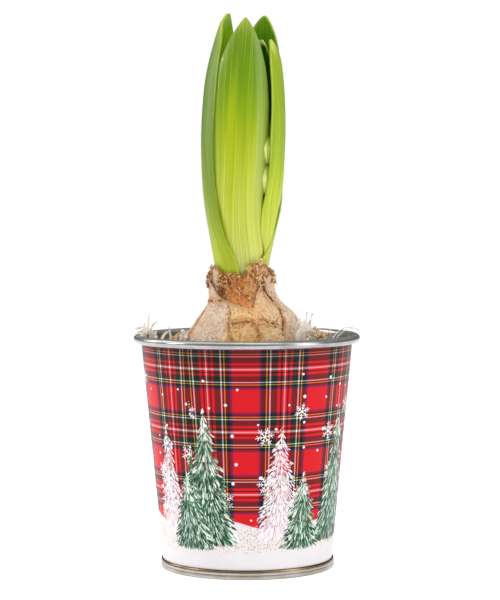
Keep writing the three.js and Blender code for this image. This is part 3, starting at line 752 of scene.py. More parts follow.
tunics = {
    "inner": {"rows": 64, "thickness": 0.45, "look": dict(
        bulbLook, pale=(252, 212, 164), deep=(170, 92, 36), freckle=(96, 48, 18), freckles=0.9, cracks=0.0,
        edge=(112, 60, 26), edgeShare=0.6, edgeReach=2.2, lip=(240, 200, 160), lipShare=0.3,
        inside=(196, 140, 96), relief=0.9,
        zones=[
            (-180, (220, 176, 136)), (-164, (232, 208, 188)), (-138, (236, 214, 196)), (-129, (226, 158, 96)),
            (-114, (238, 152, 78)), (-98, (240, 136, 58)), (-84, (246, 160, 84)), (-70, (246, 190, 130)),
            (-35, (244, 204, 158)), (0, (210, 154, 108)), (60, (200, 136, 86)), (120, (212, 154, 106)),
            (180, (214, 170, 136)),
        ],
    )},
    "outer": {"rows": 84, "thickness": 0.35, "look": dict(
        bulbLook, edgeShare=0.6, edgeReach=1.3, lipShare=0.85, inside=(206, 150, 100))},
}
tunicColumns = 480
outerEdge = [[-180, 126.2], [-160, 127], [-152, 125.4], [-138, 122], [-125, 119.2], [-109, 117.3],
             [-94, 115.8], [-84, 114.9], [-79, 115], [-74, 117.2], [-68, 120.2], [-61, 123.4], [-52, 125.4],
             [-44, 127], [-37, 129.2], [-25, 128.6], [-5, 127.4], [40, 126.6], [90, 127.4], [135, 126],
             [180, 126.2]]


# A tunic's upper and lower edge, in millimetres: torn ragged on the inner sleeve, and dipping in a
# deep curled scoop at the front of the outer one.
def tunicEdges(kind, turns, degrees):
    if kind == "inner":
        rise = 4.8 * bell(degrees, -48, 30) + 1.5 * bell(degrees, 120, 60) + 4.2 * bell(degrees, -150, 20)
        tear = roughNoise(turns, 0.5, 60, 51) + 0.7 * softNoise(turns, 2.5, 220, 52)
        return 129.2 + rise + tear, 114.3 + 0 * turns
    tear = 0.4 * roughNoise(turns, 0.5, 46, 53) * (1.3 - bell(degrees, -112, 26))
    return smoothThrough(outerEdge, degrees) + tear, 99.5 + 0.9 * roughNoise(turns, 0.5, 40, 55)


# A tunic is a thin crinkled sleeve: outer face up, over the torn edge, inner face down. The outer one
# hugs the bulb at its foot, and its lip curls away from the neck over the last two millimetres.
def makeTunic(kind, tunic):
    turns = (np.arange(tunicColumns) / tunicColumns)[None, :]
    degrees = turns * 360 - 180
    angle = np.radians(degrees)
    top, bottom = tunicEdges(kind, degrees / 360, degrees)
    z = bottom + (top - bottom) * (1 - (1 - np.linspace(0, 1, tunic["rows"])) ** 1.35)[:, None]
    wrinkle = roughNoise(turns, z / 5, 64, 61)
    folds = roughNoise(turns, z / 12, 26, 62)
    crack = crackReach(degrees, z)
    if kind == "inner":
        radius = skinRadius(z) - 0.3 - 0.25 * crinkle(angle, z, 1)
        radius = radius + (0.25 * wrinkle + 0.35 * folds) * easeStep(z, 115, 120)
    else:
        foot = ribbed(z, angle) + 0.35
        neck = skinRadius(z) + 0.45 + 0.25 * crinkle(angle, z, 4)
        radius = foot + (neck - foot) * easeStep(z, 106, 114)
        radius = radius + (0.14 * wrinkle + 0.3 * folds) * easeStep(z, 99, 106)
        lip = np.clip(1 - (top - z) / 1.6, 0, 1)
        radius = radius - 0.3 * np.exp(-((crack / 1.5) ** 2)) + 0.55 * lip ** 2
    inside = radius - tunic["thickness"] * easeStep(z - bottom, -0.5, 3)
    place = xyz(degrees * skin["degree"], z, 0)
    bothFaces = lambda outer, inner: np.concatenate([outer, inner[::-1]])
    points = bothFaces(*[onCircle(skinAxisX(z), reach, angle, z) for reach in (radius, inside)])
    fields = {"marks": bothFaces(*[xyz(crack, top - z, side) for side in (0, 1)]),
              "skin": bothFaces(place, place)}
    name = "tunic" + kind.capitalize()
    finish = drySkin(name + "Skin", tunic["look"])
    makePiece(name, [patch(points, fields, ring=True)], [finish], "tunic_" + kind, sharpAbove=60)


# Ribbons: flat strips carried along paths. Paths are strands by rows by xyz; width and thickness may
# vary along them. The section turns so that its flat side keeps facing `facing`.
def ribbons(paths, widths, thickness, facing, field):
    along = np.gradient(paths, axis=1)
    along = along / np.linalg.norm(along, axis=-1, keepdims=True)
    side = np.cross(along, facing)
    side = side / np.maximum(np.linalg.norm(side, axis=-1, keepdims=True), 1e-6)
    across, above = np.array([(1, 1), (-1, 1), (-1, -1), (1, -1)]).T[..., None] / 2
    offset = side[:, :, None] * across * widths[..., None, None]
    offset = offset + np.cross(along, side)[:, :, None] * above * thickness[..., None, None]
    return patch(paths[:, :, None] + offset, {"strip": field})


# Frayed shreds of tunic: short curling strips on the neck and over its ragged edge. Each group has
# its middle and spread in degrees, its lowest and highest roots, how many strips it has, their length
# and width, how far they lean out, and their tone from dark (0) to cream (1). Each strip's colour is
# its tone, darker towards its tip and clouded by grain.
shreds = [
    (-60, 15, 128.5, 134.0, 95, 3.4, 1.0, 0.4, 0.62), (-60, 17, 126.0, 131.0, 46, 3.2, 0.9, 0.3, 0.6),
    (-113, 20, 126.6, 129.2, 72, 2.0, 0.75, 0.25, 0.45), (-113, 22, 121.5, 127.0, 16, 3.4, 0.6, 0.1, 0.25),
    # The dark group at -128 degrees, inside the lip at the front left, is painted shade as well as shreds.
    (-128, 6, 120.0, 126.0, 22, 2.4, 0.6, 0.1, 0.1), (-165, 13, 127.0, 132.5, 34, 1.9, 0.75, 0.35, 0.35),
    (-170, 8, 123.5, 126.5, 26, 2.2, 0.7, 0.5, 0.4), (-165, 12, 117.0, 118.6, 14, 1.4, 0.6, 0.3, 0.45),
    (-16, 12, 125.0, 131.0, 40, 2.2, 0.7, 0.5, 0.5), (-85, 30, 119.0, 124.0, 12, 3.2, 0.6, 0.08, 0.35),
    (90, 75, 125.5, 130.5, 200, 3.0, 0.9, 0.3, 0.45), (170, 20, 124.0, 130.0, 50, 2.6, 0.8, 0.35, 0.45),
]
shredTones = [(0.0, (108, 58, 18)), (0.25, (164, 98, 42)), (0.5, (222, 164, 100)), (0.75, (246, 206, 150)),
              (1.0, (252, 234, 200))]


def makeShreds():
    random = np.random.default_rng(17)
    counts = [group[4] for group in shreds]
    middle, spread, low, high, _, length, width, lean, tone = [
        np.repeat(column, counts)[:, None] for column in np.array(shreds, float).T]
    count, rows = sum(counts), 13
    lot = lambda: random.random((count, 1))
    t = np.linspace(0, 1, rows)[None, :]
    degrees = middle + spread * (2 * lot() - 1) ** 3 * 0.5 + spread * (lot() - 0.5) * 1.6
    root = low + (high - low) * lot()
    length = length * (0.45 + 0.9 * lot())
    wind = (0.6 + 4.4 * lot()) * np.where(lot() < 0.5, -1, 1)
    heading = random.normal(0, 0.9, (count, 1)) + wind * t + 0.7 * np.sin(7 * t + 6 * lot())
    upwards, sideways = [np.cumsum(part, axis=1) / rows * length
                         for part in (np.cos(heading), np.sin(heading))]
    z = root + upwards
    lift = 0.15 + 0.35 * lot() + lean * length * (t ** 1.4) * (0.2 + 0.9 * lot())
    covered = easeStep(z, 128.5, 131.5) * (z > 126)
    radius = skinRadius(z) + 0.35 * (1 - covered) - 1.3 * covered + lift
    turn = np.radians(degrees) + sideways / radius
    paths = onCircle(skinAxisX(z), radius, turn, z)
    roll = 6 * lot() + t * random.normal(0, 2.5, (count, 1))
    facing = xyz(np.cos(turn) + 0.6 * np.sin(roll), np.sin(turn), 0.9 * np.cos(roll))
    widths = width * (0.4 + 0.9 * lot()) * (1 - 0.7 * t ** 2)
    field = np.zeros((count, rows, 4, 3))
    field[..., 0] = np.clip(tone + 0.9 * (lot() - 0.5), 0, 1)[:, :, None]
    field[..., 1] = t[:, :, None]
    strips = ribbons(paths, widths, np.full(widths.shape, 0.14), facing, field)
    finish = Finish("tunicShreds")
    shade, way, _ = finish.field("strip")
    grain = finish.noise(finish.place(), 1.1, 3.0, 0.6)
    colour = finish.ramp(shade + (grain - 0.5) * 0.5 - way * 0.1, shredTones)
    material = finish.done(colour, 0.6, grain, 0.1, {"Specular IOR Level": 0.3})
    makePiece("tunicShreds", [strips], [material], sharpAbove=30)


# The leaves: channelled blades that sheathe each other. Angles are degrees round the shoot's axis, and
# curves are [height, value] pairs: a blade's radius, its two edges, its way forward and its bulge.
# Its colours go by height too, outside in "heights" and inside in "lining".

shoot = {"low": (115, -2.4), "high": (245, 0.0), "base": 111.3, "rows": 170, "columns": 46}

leaves = {
    "left": {
        "tip": 244, "closeFrom": 229, "closePower": 0.5, "tipAngle": 160, "thickness": 1.95,
        "radius": [[111, 11.6], [131, 11.9], [142, 13.7], [162, 17.2], [186, 18.8], [204, 18.4],
                   [217, 17.1], [232, 13.6], [239, 11.4], [244, 8.7]],
        "from": [[111, 106], [135, 112], [155, 120], [200, 120], [225, 113], [245, 109]],
        "to": [[111, 267], [130, 266], [147, 236.5], [160, 228], [175, 224.5], [217, 223.6], [245, 216]],
        "heights": [(111, (214, 218, 120)), (126, (190, 202, 52)), (140, (164, 180, 22)),
                    (155, (126, 148, 0)), (172, (100, 126, 14)), (205, (92, 120, 40)),
                    (230, (98, 130, 34)), (238, (134, 160, 40)), (244, (160, 182, 60))],
        "lining": [(111, (220, 222, 140)), (160, (180, 198, 40)), (205, (130, 170, 0)),
                   (244, (128, 172, 0))],
        "bloomAndSheen": 0.3, "streaks": 0.16, "veins": 0.18, "rim": 0.5, "rimLow": 0.55, "coat": 0.06,
    },
    "back": {
        "tip": 243.6, "closeFrom": 214, "closePower": 0.62, "tipAngle": 50, "thickness": 1.95,
        "radius": [[111, 11.6], [131, 11.7], [142, 13.6], [147, 14.6], [160, 17.2], [186, 18.6],
                   [204, 18.3], [219, 17.7], [233, 16.2], [243.6, 13.9]],
        "from": [[111, -58], [133, -52], [140.5, -31], [147, -15], [157, 0], [170, 14], [180, 21],
                 [245, 21]],
        "to": [[111, 98], [150, 103], [245, 106]],
        "heights": [(111, (214, 216, 130)), (132, (196, 204, 80)), (150, (170, 188, 50)),
                    (172, (150, 174, 40)), (205, (134, 162, 40)), (232, (128, 158, 36)),
                    (244, (160, 178, 70))],
        "lining": [(111, (220, 222, 140)), (160, (160, 188, 30)), (205, (92, 144, 0)), (232, (78, 134, 0)),
                   (244, (110, 154, 6))],
        "bloomAndSheen": 0.3, "streaks": 0.3, "veins": 0.25, "rim": 0.45, "rimLow": 0.75, "coat": 0.06,
    },
    "front": {
        "tip": 241.4, "closeFrom": 199, "closePower": 0.63, "tipAngle": -89, "thickness": 2.0,
        "forward": [[111, 0], [140, 0.6], [165, 2.6], [200, 2.4], [225, 2.2], [241, 1.6]],
        "radius": [[111, 9.7], [131, 10.6], [147, 13], [162, 15.2], [185, 16.2], [205, 16], [222, 14.4],
                   [234, 12], [240.7, 9.4]],
        "from": [[111, -165], [133, -165], [150, -160], [170, -158], [241, -158]],
        "to": [[111, -28], [137, -30], [147, -41], [160, -43], [180, -38], [210, -34], [241, -28]],
        "bulge": {"at": -150, "width": 26, "reach": 1.8,
                  "heights": [[111, 0], [148, 0], [170, 1], [215, 1], [240, 0]]},
        "heights": [(111, (226, 226, 160)), (130, (212, 216, 116)), (146, (198, 206, 76)),
                    (165, (184, 196, 50)), (186, (162, 180, 16)), (200, (134, 164, 0)),
                    (215, (108, 144, 0)), (228, (100, 136, 0)), (236, (112, 142, 0)), (241, (150, 166, 20))],
        "lining": [(111, (226, 228, 160)), (160, (190, 206, 70)), (240, (120, 160, 16))],
        "bloomAndSheen": 0.6, "streaks": 0.22, "veins": 0.24, "olive": -0.24, "rim": 0.4, "rimLow": 0.5,
        "coat": 0.38,
    },
    "right": {
        "tip": 232, "closeFrom": 220, "closePower": 0.5, "tipAngle": -29, "thickness": 1.9,
        "radius": [[111, 9.7], [131, 10.4], [147, 12.5], [157, 14.4], [165, 16.2], [178, 17.8],
                   [190, 18.3], [206, 17.8], [219, 16.6], [228, 15], [232, 13.4]],
        "from": [[111, -23], [133, -26], [140, -36], [147, -50], [157, -54], [165, -52], [175, -49.5],
                 [190, -49], [205, -46.5], [232, -46]],
        "to": [[111, 60], [132, 58], [150, 38], [165, 14], [178, 16], [200, 17], [213, 9], [223, -6],
               [232, -22]],
        "bulge": {"at": -22, "width": 24, "reach": 1.6,
                  "heights": [[111, 0], [130, 0.3], [145, 1], [162, 1], [182, 0]]},
        "heights": [(111, (222, 224, 150)), (130, (206, 212, 110)), (146, (196, 206, 76)),
                    (165, (178, 194, 40)), (186, (146, 172, 24)), (205, (142, 166, 26)),
                    (226, (146, 168, 34)), (231, (200, 208, 104))],
        "lining": [(111, (226, 228, 160)), (160, (180, 200, 66)), (232, (120, 160, 16))],
        "bloomAndSheen": 0.1, "streaks": 0.25, "veins": 0.18, "rim": 0.8, "rimLow": 0.4, "coat": 0.08,
    },
    "inner": {
        "tip": 232.6, "closeFrom": 218, "closePower": 0.45, "tipAngle": 34, "thickness": 1.5,
        "radius": [[111, 9.7], [131, 10.5], [147, 12.5], [160, 14.3], [175, 15.7], [205, 15.6], [218, 14],
                   [228, 11.4], [232.6, 9.4]],
        "from": [[111, 66], [150, 62], [165, 42], [180, 26], [245, 24]],
        "to": [[111, 188], [150, 160], [245, 140]],
        # Outside: dark green down the slit is painted shade, and the pale tip is partly brightened as a
        # painted highlight.
        "heights": [(111, (220, 222, 150)), (160, (150, 176, 60)), (195, (60, 96, 0)), (229.6, (44, 84, 0)),
                    (231, (220, 228, 130)), (232, (236, 240, 180))],
        # Lining: the yellow band near 192 mm is a painted glow of light through the leaves, the dark green
        # above it is painted shade in the slit, and the near-white tip is a painted highlight.
        "lining": [(111, (226, 228, 160)), (160, (190, 214, 50)), (192, (200, 224, 20)), (199, (30, 86, 0)),
                   (229.6, (50, 100, 0)), (231, (246, 250, 160)), (232, (255, 255, 206))],
        "bloomAndSheen": 0, "streaks": 0.2, "veins": 0.2, "rim": 1.2, "rimLow": 0.7, "coat": 0.0,
    },
}


def shootAxisX(z):
    (lowZ, lowX), (highZ, highX) = shoot["low"], shoot["high"]
    return lowX + (highX - lowX) * (z - lowZ) / (highZ - lowZ)


# Fleshy leaf skin. Colour follows height, outside and inside. Broad streaks and fine veins run up it,
# a grey bloom and painted sheen lie towards the edges, and the rim is pale over its last half millimetre.
def leafSkin(name, leaf):
    finish = Finish(name)
    across, height, lining = finish.field("blade")
    margin, arc, _ = finish.field("rim")
    low, high = 105.0, 250.0  # heights that the ramps run between
    share = (height - low) / (high - low)
    scaled = lambda stops: [((z - low) / (high - low), colour) for z, colour in stops]
    patchy = finish.noise(finish.vector(arc * 0.35, height * 0.03), 1.0, 3.0, 0.6)
    outside = finish.ramp(share + (patchy - 0.5) * 0.12, scaled(leaf["heights"]))
    inside = finish.ramp(share, scaled(leaf["lining"]))
    broad = finish.noise(finish.vector(arc * 0.42, height * 0.008), 1.0, 2.0, 0.5)
    veins = finish.noise(finish.vector(arc * 1.5, height * 0.01), 1.0, 2.0, 0.55)
    freckle = finish.noise(finish.vector(arc, height * 0.5), 1.6, 2.0, 0.6)
    outer = 1 - lining
    streaks, rimLow = leaf["streaks"], leaf["rimLow"]
    colour = finish.over(
        outside,
        (inside, lining),
        ((214, 222, 120), broad.ease(0.5, 0.75) * outer * (1 - share.ease(0.5, 0.75)) * streaks),
        ((96, 134, 0), (1 - broad).ease(0.5, 0.75) * share.ease(0.25, 0.6) * streaks),
        ((236, 240, 160), veins.ease(0.54, 0.62) * leaf["veins"]),
        ((104, 130, 0), (1 - veins).ease(0.54, 0.64) * leaf["veins"] * 0.8),
    )
    if "olive" in leaf:  # a yellower band along the blade
        line = 1 - abs(across - leaf["olive"] + (broad - 0.5) * 0.1).ease(0.03, 0.17)
        band = share.ease(0.24, 0.42) * (1 - share.ease(0.62, 0.86))
        colour = finish.blend(colour, (168, 184, 0), line * band * 0.7 * outer)
    pale = 1 - (margin + (freckle - 0.5) * 0.25).ease(0.1, leaf["rim"])
    colour = finish.over(
        colour,
        # grey bloom and painted sheen towards the edges, where the blade turns away
        ((134, 156, 92), abs(across).ease(0.4, 0.9) * share.ease(0.25, 0.55) * leaf["bloomAndSheen"] * outer),
        ((206, 212, 130), share.ease(0.87, 0.96) * freckle.ease(0.42, 0.6) * 0.4 * outer),
        ((204, 216, 84), pale * share.ease(rimLow, rimLow + 0.25) * 0.6),
    )
    fixed = {"Specular IOR Level": 0.22, "Coat Weight": leaf["coat"], "Coat Roughness": 0.12,
             "Subsurface Weight": 0.08, "Subsurface Radius": (1.0, 1.0, 0.3), "Subsurface Scale": 0.0012}
    return finish.done(colour, 0.36 + veins * 0.12, veins * 0.8 + broad * 0.2, 0.12, fixed)


# A blade: its section is an arc round a centre that lies `forward` of the axis towards the blade's
# middle. The edges are angles that close on the tip above closeFrom. The thickness swells to the
# middle, the edge is rounded over half its own thickness, and the tip is domed.
def makeLeaf(which, leaf):
    tip, tipAngle = leaf["tip"], leaf["tipAngle"]
    rise = (1 - (1 - np.linspace(0, 1, shoot["rows"])) ** 1.7)[:, None]
    z = shoot["base"] + (tip - 0.03 - shoot["base"]) * rise
    column = (0.5 - 0.5 * np.cos(np.pi * np.linspace(0, 1, shoot["columns"])))[None, :]
    climb = np.clip(z - leaf["closeFrom"], 0, None) / (tip - leaf["closeFrom"])
    spread = (1 - climb ** 2) ** leaf["closePower"]
    first, last = smoothThrough(leaf["from"], z), smoothThrough(leaf["to"], z)
    low, high = [tipAngle + (edge - tipAngle) * spread for edge in (first, last)]
    angle = np.radians(low + (high - low) * column)
    middle = np.radians((first + last) / 2)
    across = 2 * column - 1
    radius = smoothThrough(leaf["radius"], z)
    forward = smoothThrough(leaf.get("forward", [[111, 0], [245, 0]]), z)
    edgeShare, domeHeight = 0.42, 1.8
    thickness = leaf["thickness"] * (edgeShare + (1 - edgeShare) * (1 - across ** 2) ** 0.6)
    halfWidth = np.radians(high - low) / 2 * radius
    margin = (1 - np.abs(across)) * halfWidth
    half = np.minimum(leaf["thickness"] * edgeShare / 2, halfWidth)
    rounding = half * (1 - np.sqrt(1 - (1 - np.clip(margin / half, 0, 1)) ** 2))
    dome = np.sqrt(1 - np.clip((z - tip) / domeHeight + 1, 0, 1) ** 2)
    rounding = np.maximum(rounding, thickness / 2 * (1 - dome))
    reach = radius - forward + 0.05 * roughNoise(across * 0.5, z / 30, 24, 71, 2) * np.clip(margin / 3, 0, 1)
    if "bulge" in leaf:
        bulge = leaf["bulge"]
        around = bell(np.degrees(angle), bulge["at"], bulge["width"])
        reach = reach + bulge["reach"] * smoothThrough(bulge["heights"], z) * around
    faces = []
    for side in (0, 1):
        r = reach - rounding - side * (thickness - 2 * rounding)
        x = shootAxisX(z) + forward * np.cos(middle) + r * np.cos(angle)
        points = xyz(x, forward * np.sin(middle) + r * np.sin(angle), z)
        faces.append((points, xyz(across + 0 * z, z, side), xyz(margin, across * halfWidth, 0)))
    points, blade, rim = [np.concatenate([outside, inside[:, ::-1]], 1) for outside, inside in zip(*faces)]
    made = patch(points, {"blade": blade, "rim": rim})
    name = "leaf" + which.capitalize()
    makePiece(name, [made], [leafSkin(name + "Skin", leaf)], "leaf_" + which)


# The flower spike: a stem and a core, covered by closed buds that stand in staggered rings

spike = {
    "foot": 111.3, "low": 150, "high": 199, "stem": 5.6, "core": 8.4, "budLength": 13.8, "budRadius": 3.2,
    "belly": [[0, 0.02], [0.03, 0.4], [0.14, 0.72], [0.42, 1], [0.74, 0.86], [0.93, 0.45], [0.985, 0.2],
              [1, 0.01]],
    "rings": [  # height, distance from the axis, buds, lean in degrees
        (152, 7.4, 7, 4), (159, 8.8, 7, 2), (168, 8.9, 7, 0), (176.5, 7.6, 6, -4), (184, 3.6, 4, -9),
    ],
    "shown": {  # the buds seen between two leaves: height, distance, turn and lean
        (0, 0): (149.6, 10.4, -46, 3), (2, 0): (164.3, 13.2, -43.6, 1), (4, 0): (177.2, 13.5, -43.2, -1),
    },
    "tones": [(0.0, (150, 178, 60)), (0.2, (206, 218, 100)), (0.6, (232, 238, 142)), (1.0, (160, 188, 60))],
}


# A bud is a closed oval whose section has six soft lobes, for the six petals folded in it. Its colour
# goes from foot to tip, greener in the folds between the lobes and paler where a soft grain is high.
def makeSpike():
    foot, low, high, stem, core = [spike[key] for key in ("foot", "low", "high", "stem", "core")]
    height = np.linspace(foot, high - 3, 60)[:, None]
    outline = smoothThrough([[foot, stem - 0.6], [125, stem], [low - 4, stem + 0.6], [low + 12, core],
                             [high - 18, core], [high - 6, 4], [high - 3, 0.05]], height)
    middleX = shootAxisX((low + high) / 2)
    turn = np.arange(36) * 2 * np.pi / 36
    column = onCircle(middleX, outline, turn, height)
    stemPatch = patch(column, {"bud": np.array([0, 0.1, 0])})
    share = np.linspace(0, 1, 22)[:, None]
    lobes = 1 + 0.07 * np.abs(np.cos(3 * turn)) * easeStep(share, 0.2, 0.6) - 0.04
    radius = spike["budRadius"] * smoothThrough(spike["belly"], share) * lobes
    one = onCircle(0, radius, turn, spike["budLength"] * share)
    copies, lots = [], []
    random = np.random.default_rng(5)
    for level, (bottom, reach, count, lean) in enumerate(spike["rings"]):
        for bud in range(count):
            spot = (bottom, reach, (bud + 0.5 * (level % 2)) * 360 / count - 40, lean)
            z, away, around, tilt = spike["shown"].get((level, bud), spot)
            around = math.radians(around)
            leaning = Matrix.Rotation(around, 3, "Z") @ Matrix.Rotation(math.radians(tilt), 3, "Y")
            copies.append(one @ np.array(leaning).T + onCircle(middleX, away, around, z))
            lots.append(random.random())
    buds = np.stack(copies)
    field = xyz(np.array(lots)[:, None, None], share, np.abs(np.cos(3 * turn)))
    finish = Finish("budSkin")
    lot, way, lobe = finish.field("bud")
    grain = finish.noise(finish.place(), 0.7, 3.0, 0.6)
    colour = finish.over(
        finish.ramp(way + (lot - 0.5) * 0.2, spike["tones"]),
        ((120, 156, 40), (1 - lobe).ease(0.6, 1.0) * 0.5),
        ((236, 240, 170), grain.ease(0.5, 0.7) * 0.3),
    )
    fixed = {"Subsurface Weight": 0.1, "Subsurface Radius": (1.0, 1.0, 0.4), "Subsurface Scale": 0.001}
    material = finish.done(colour, 0.42, grain, 0.06, fixed)
    makePiece("flowerBuds", [stemPatch, patch(buds, {"bud": field})], [material], "flower_spike")


# Soil, and the wood wool that lies on it

soil = {
    "top": 90.0, "relief": 0.9, "low": 3.45, "wallGap": 1.0, "bulbGap": 0.5, "holeRadius": 12.5,
    "holeFloor": 14.0, "columns": 256, "topRows": 46, "crumbs": 1700, "crumbRows": 5, "crumbColumns": 6,
    "tones": [(0.3, (38, 24, 16)), (0.5, (66, 44, 30)), (0.66, (96, 66, 44)), (0.85, (140, 104, 72))],
}


def soilHeight(x, y):
    waves = np.sin(0.4 * x + 1.3) * np.sin(0.36 * y + 0.4) + 0.5 * np.sin(0.5 * x - 0.4 * y)
    return soil["top"] + soil["relief"] * waves / 1.5


# The fill is one closed turned body: bottom, side, crumbly top, the bulb's bowl and the roots' hole.
# Crumbs are small lumps, each a ball whose surface is pushed in and out by lot. Grain and a crumb's
# lot pick the brown, and pale fibres lie over it.
def makeSoil():
    columns, wallGap, hole, floor, topRows = [
        soil[key] for key in ("columns", "wallGap", "holeRadius", "holeFloor", "topRows")]
    sideZ = np.array([soil["low"], 4.1, 20, 40, 60, 80, 88.6])
    side = xyz(wallRadius(sideZ) - wallGap, sideZ)
    top = xyz(np.linspace(wallRadius(89.5) - wallGap - 0.4, 29.6, topRows), soil["top"])
    bowlZ = np.linspace(89.5, 57, 22)
    bowl = xyz(skinRadius(bowlZ) + soil["bulbGap"], bowlZ)
    bowl = bowl[bowl[:, 0] > hole]
    bottom, low = [[0.02, soil["low"]], [20, soil["low"]]], [[hole, 57], [hole, floor], [0.02, floor]]
    points, _ = turned(np.concatenate([bottom, side, top, bowl, low]), columns)
    first = 2 + len(side)
    lean = bulb["middleX"]
    towardsBulb = np.concatenate([
        np.zeros(first), np.linspace(0, lean, topRows), np.full(len(bowl) + 3, lean)])
    points[..., 0] += towardsBulb[:, None]
    surface = points[first:first + topRows]
    x, y = surface[..., 0], surface[..., 1]
    turns = np.arange(columns)[None, :] / columns
    crumbly = 0.55 * roughNoise(turns, np.hypot(x, y) / 3.0, 80, 81) * easeStep(np.hypot(x, y), 29, 31)
    surface[..., 2] = soilHeight(x, y) + crumbly - 0.3
    random = np.random.default_rng(83)
    count, rows, sides = soil["crumbs"], soil["crumbRows"], soil["crumbColumns"]
    reach = np.sqrt(random.uniform(30.2 ** 2, 44.2 ** 2, count))
    spin = random.uniform(0, 2 * np.pi, count)
    x, y = reach * np.cos(spin), reach * np.sin(spin)
    size = 0.35 + 0.75 * random.random(count) ** 3
    polar = np.linspace(0.02, np.pi - 0.02, rows)[::-1][:, None]
    ball = onCircle(0, np.sin(polar), np.arange(sides) * 2 * np.pi / sides, np.cos(polar))
    push = random.uniform(0.75, 1.25, (count, rows, sides, 1))
    stretch = random.uniform(0.7, 1.4, (count, 1, 1, 3))
    lumps = ball * push * stretch * size[:, None, None, None]
    lumps = lumps + xyz(x, y, soilHeight(x, y) + 0.1 * size)[:, None, None]
    field = xyz(random.random(count)[:, None, None], 1, 0)
    body, crumbs = patch(points, {"crumb": np.zeros(3)}), patch(lumps, {"crumb": field})
    finish = Finish("pottingSoil")
    lot = finish.field("crumb")[0]
    place = finish.place()
    grain = finish.noise(place, 0.7, 5.0, 0.7)
    stretched = finish.node("VectorMath", {"operation": "MULTIPLY"}, {0: place, 1: (0.3, 2.0, 1.0)})
    fibre = finish.noise(stretched, 1.4, 2.0)
    colour = finish.ramp(grain * 0.8 + lot * 0.25, soil["tones"])
    colour = finish.blend(colour, (172, 136, 96), fibre.ease(0.66, 0.74) * 0.6)
    material = finish.done(colour, 0.92, grain, 0.6, {"Specular IOR Level": 0.2})
    makePiece("soilFill", [body, crumbs], [material], "potting_soil")


wool = {
    "thickness": 0.3, "rows": 16, "firstSeed": 90,
    "tones": [(0.0, (254, 250, 242)), (0.3, (246, 232, 208)), (0.6, (236, 198, 148)),
              (0.85, (204, 152, 100)), (1.0, (120, 104, 98))],
}
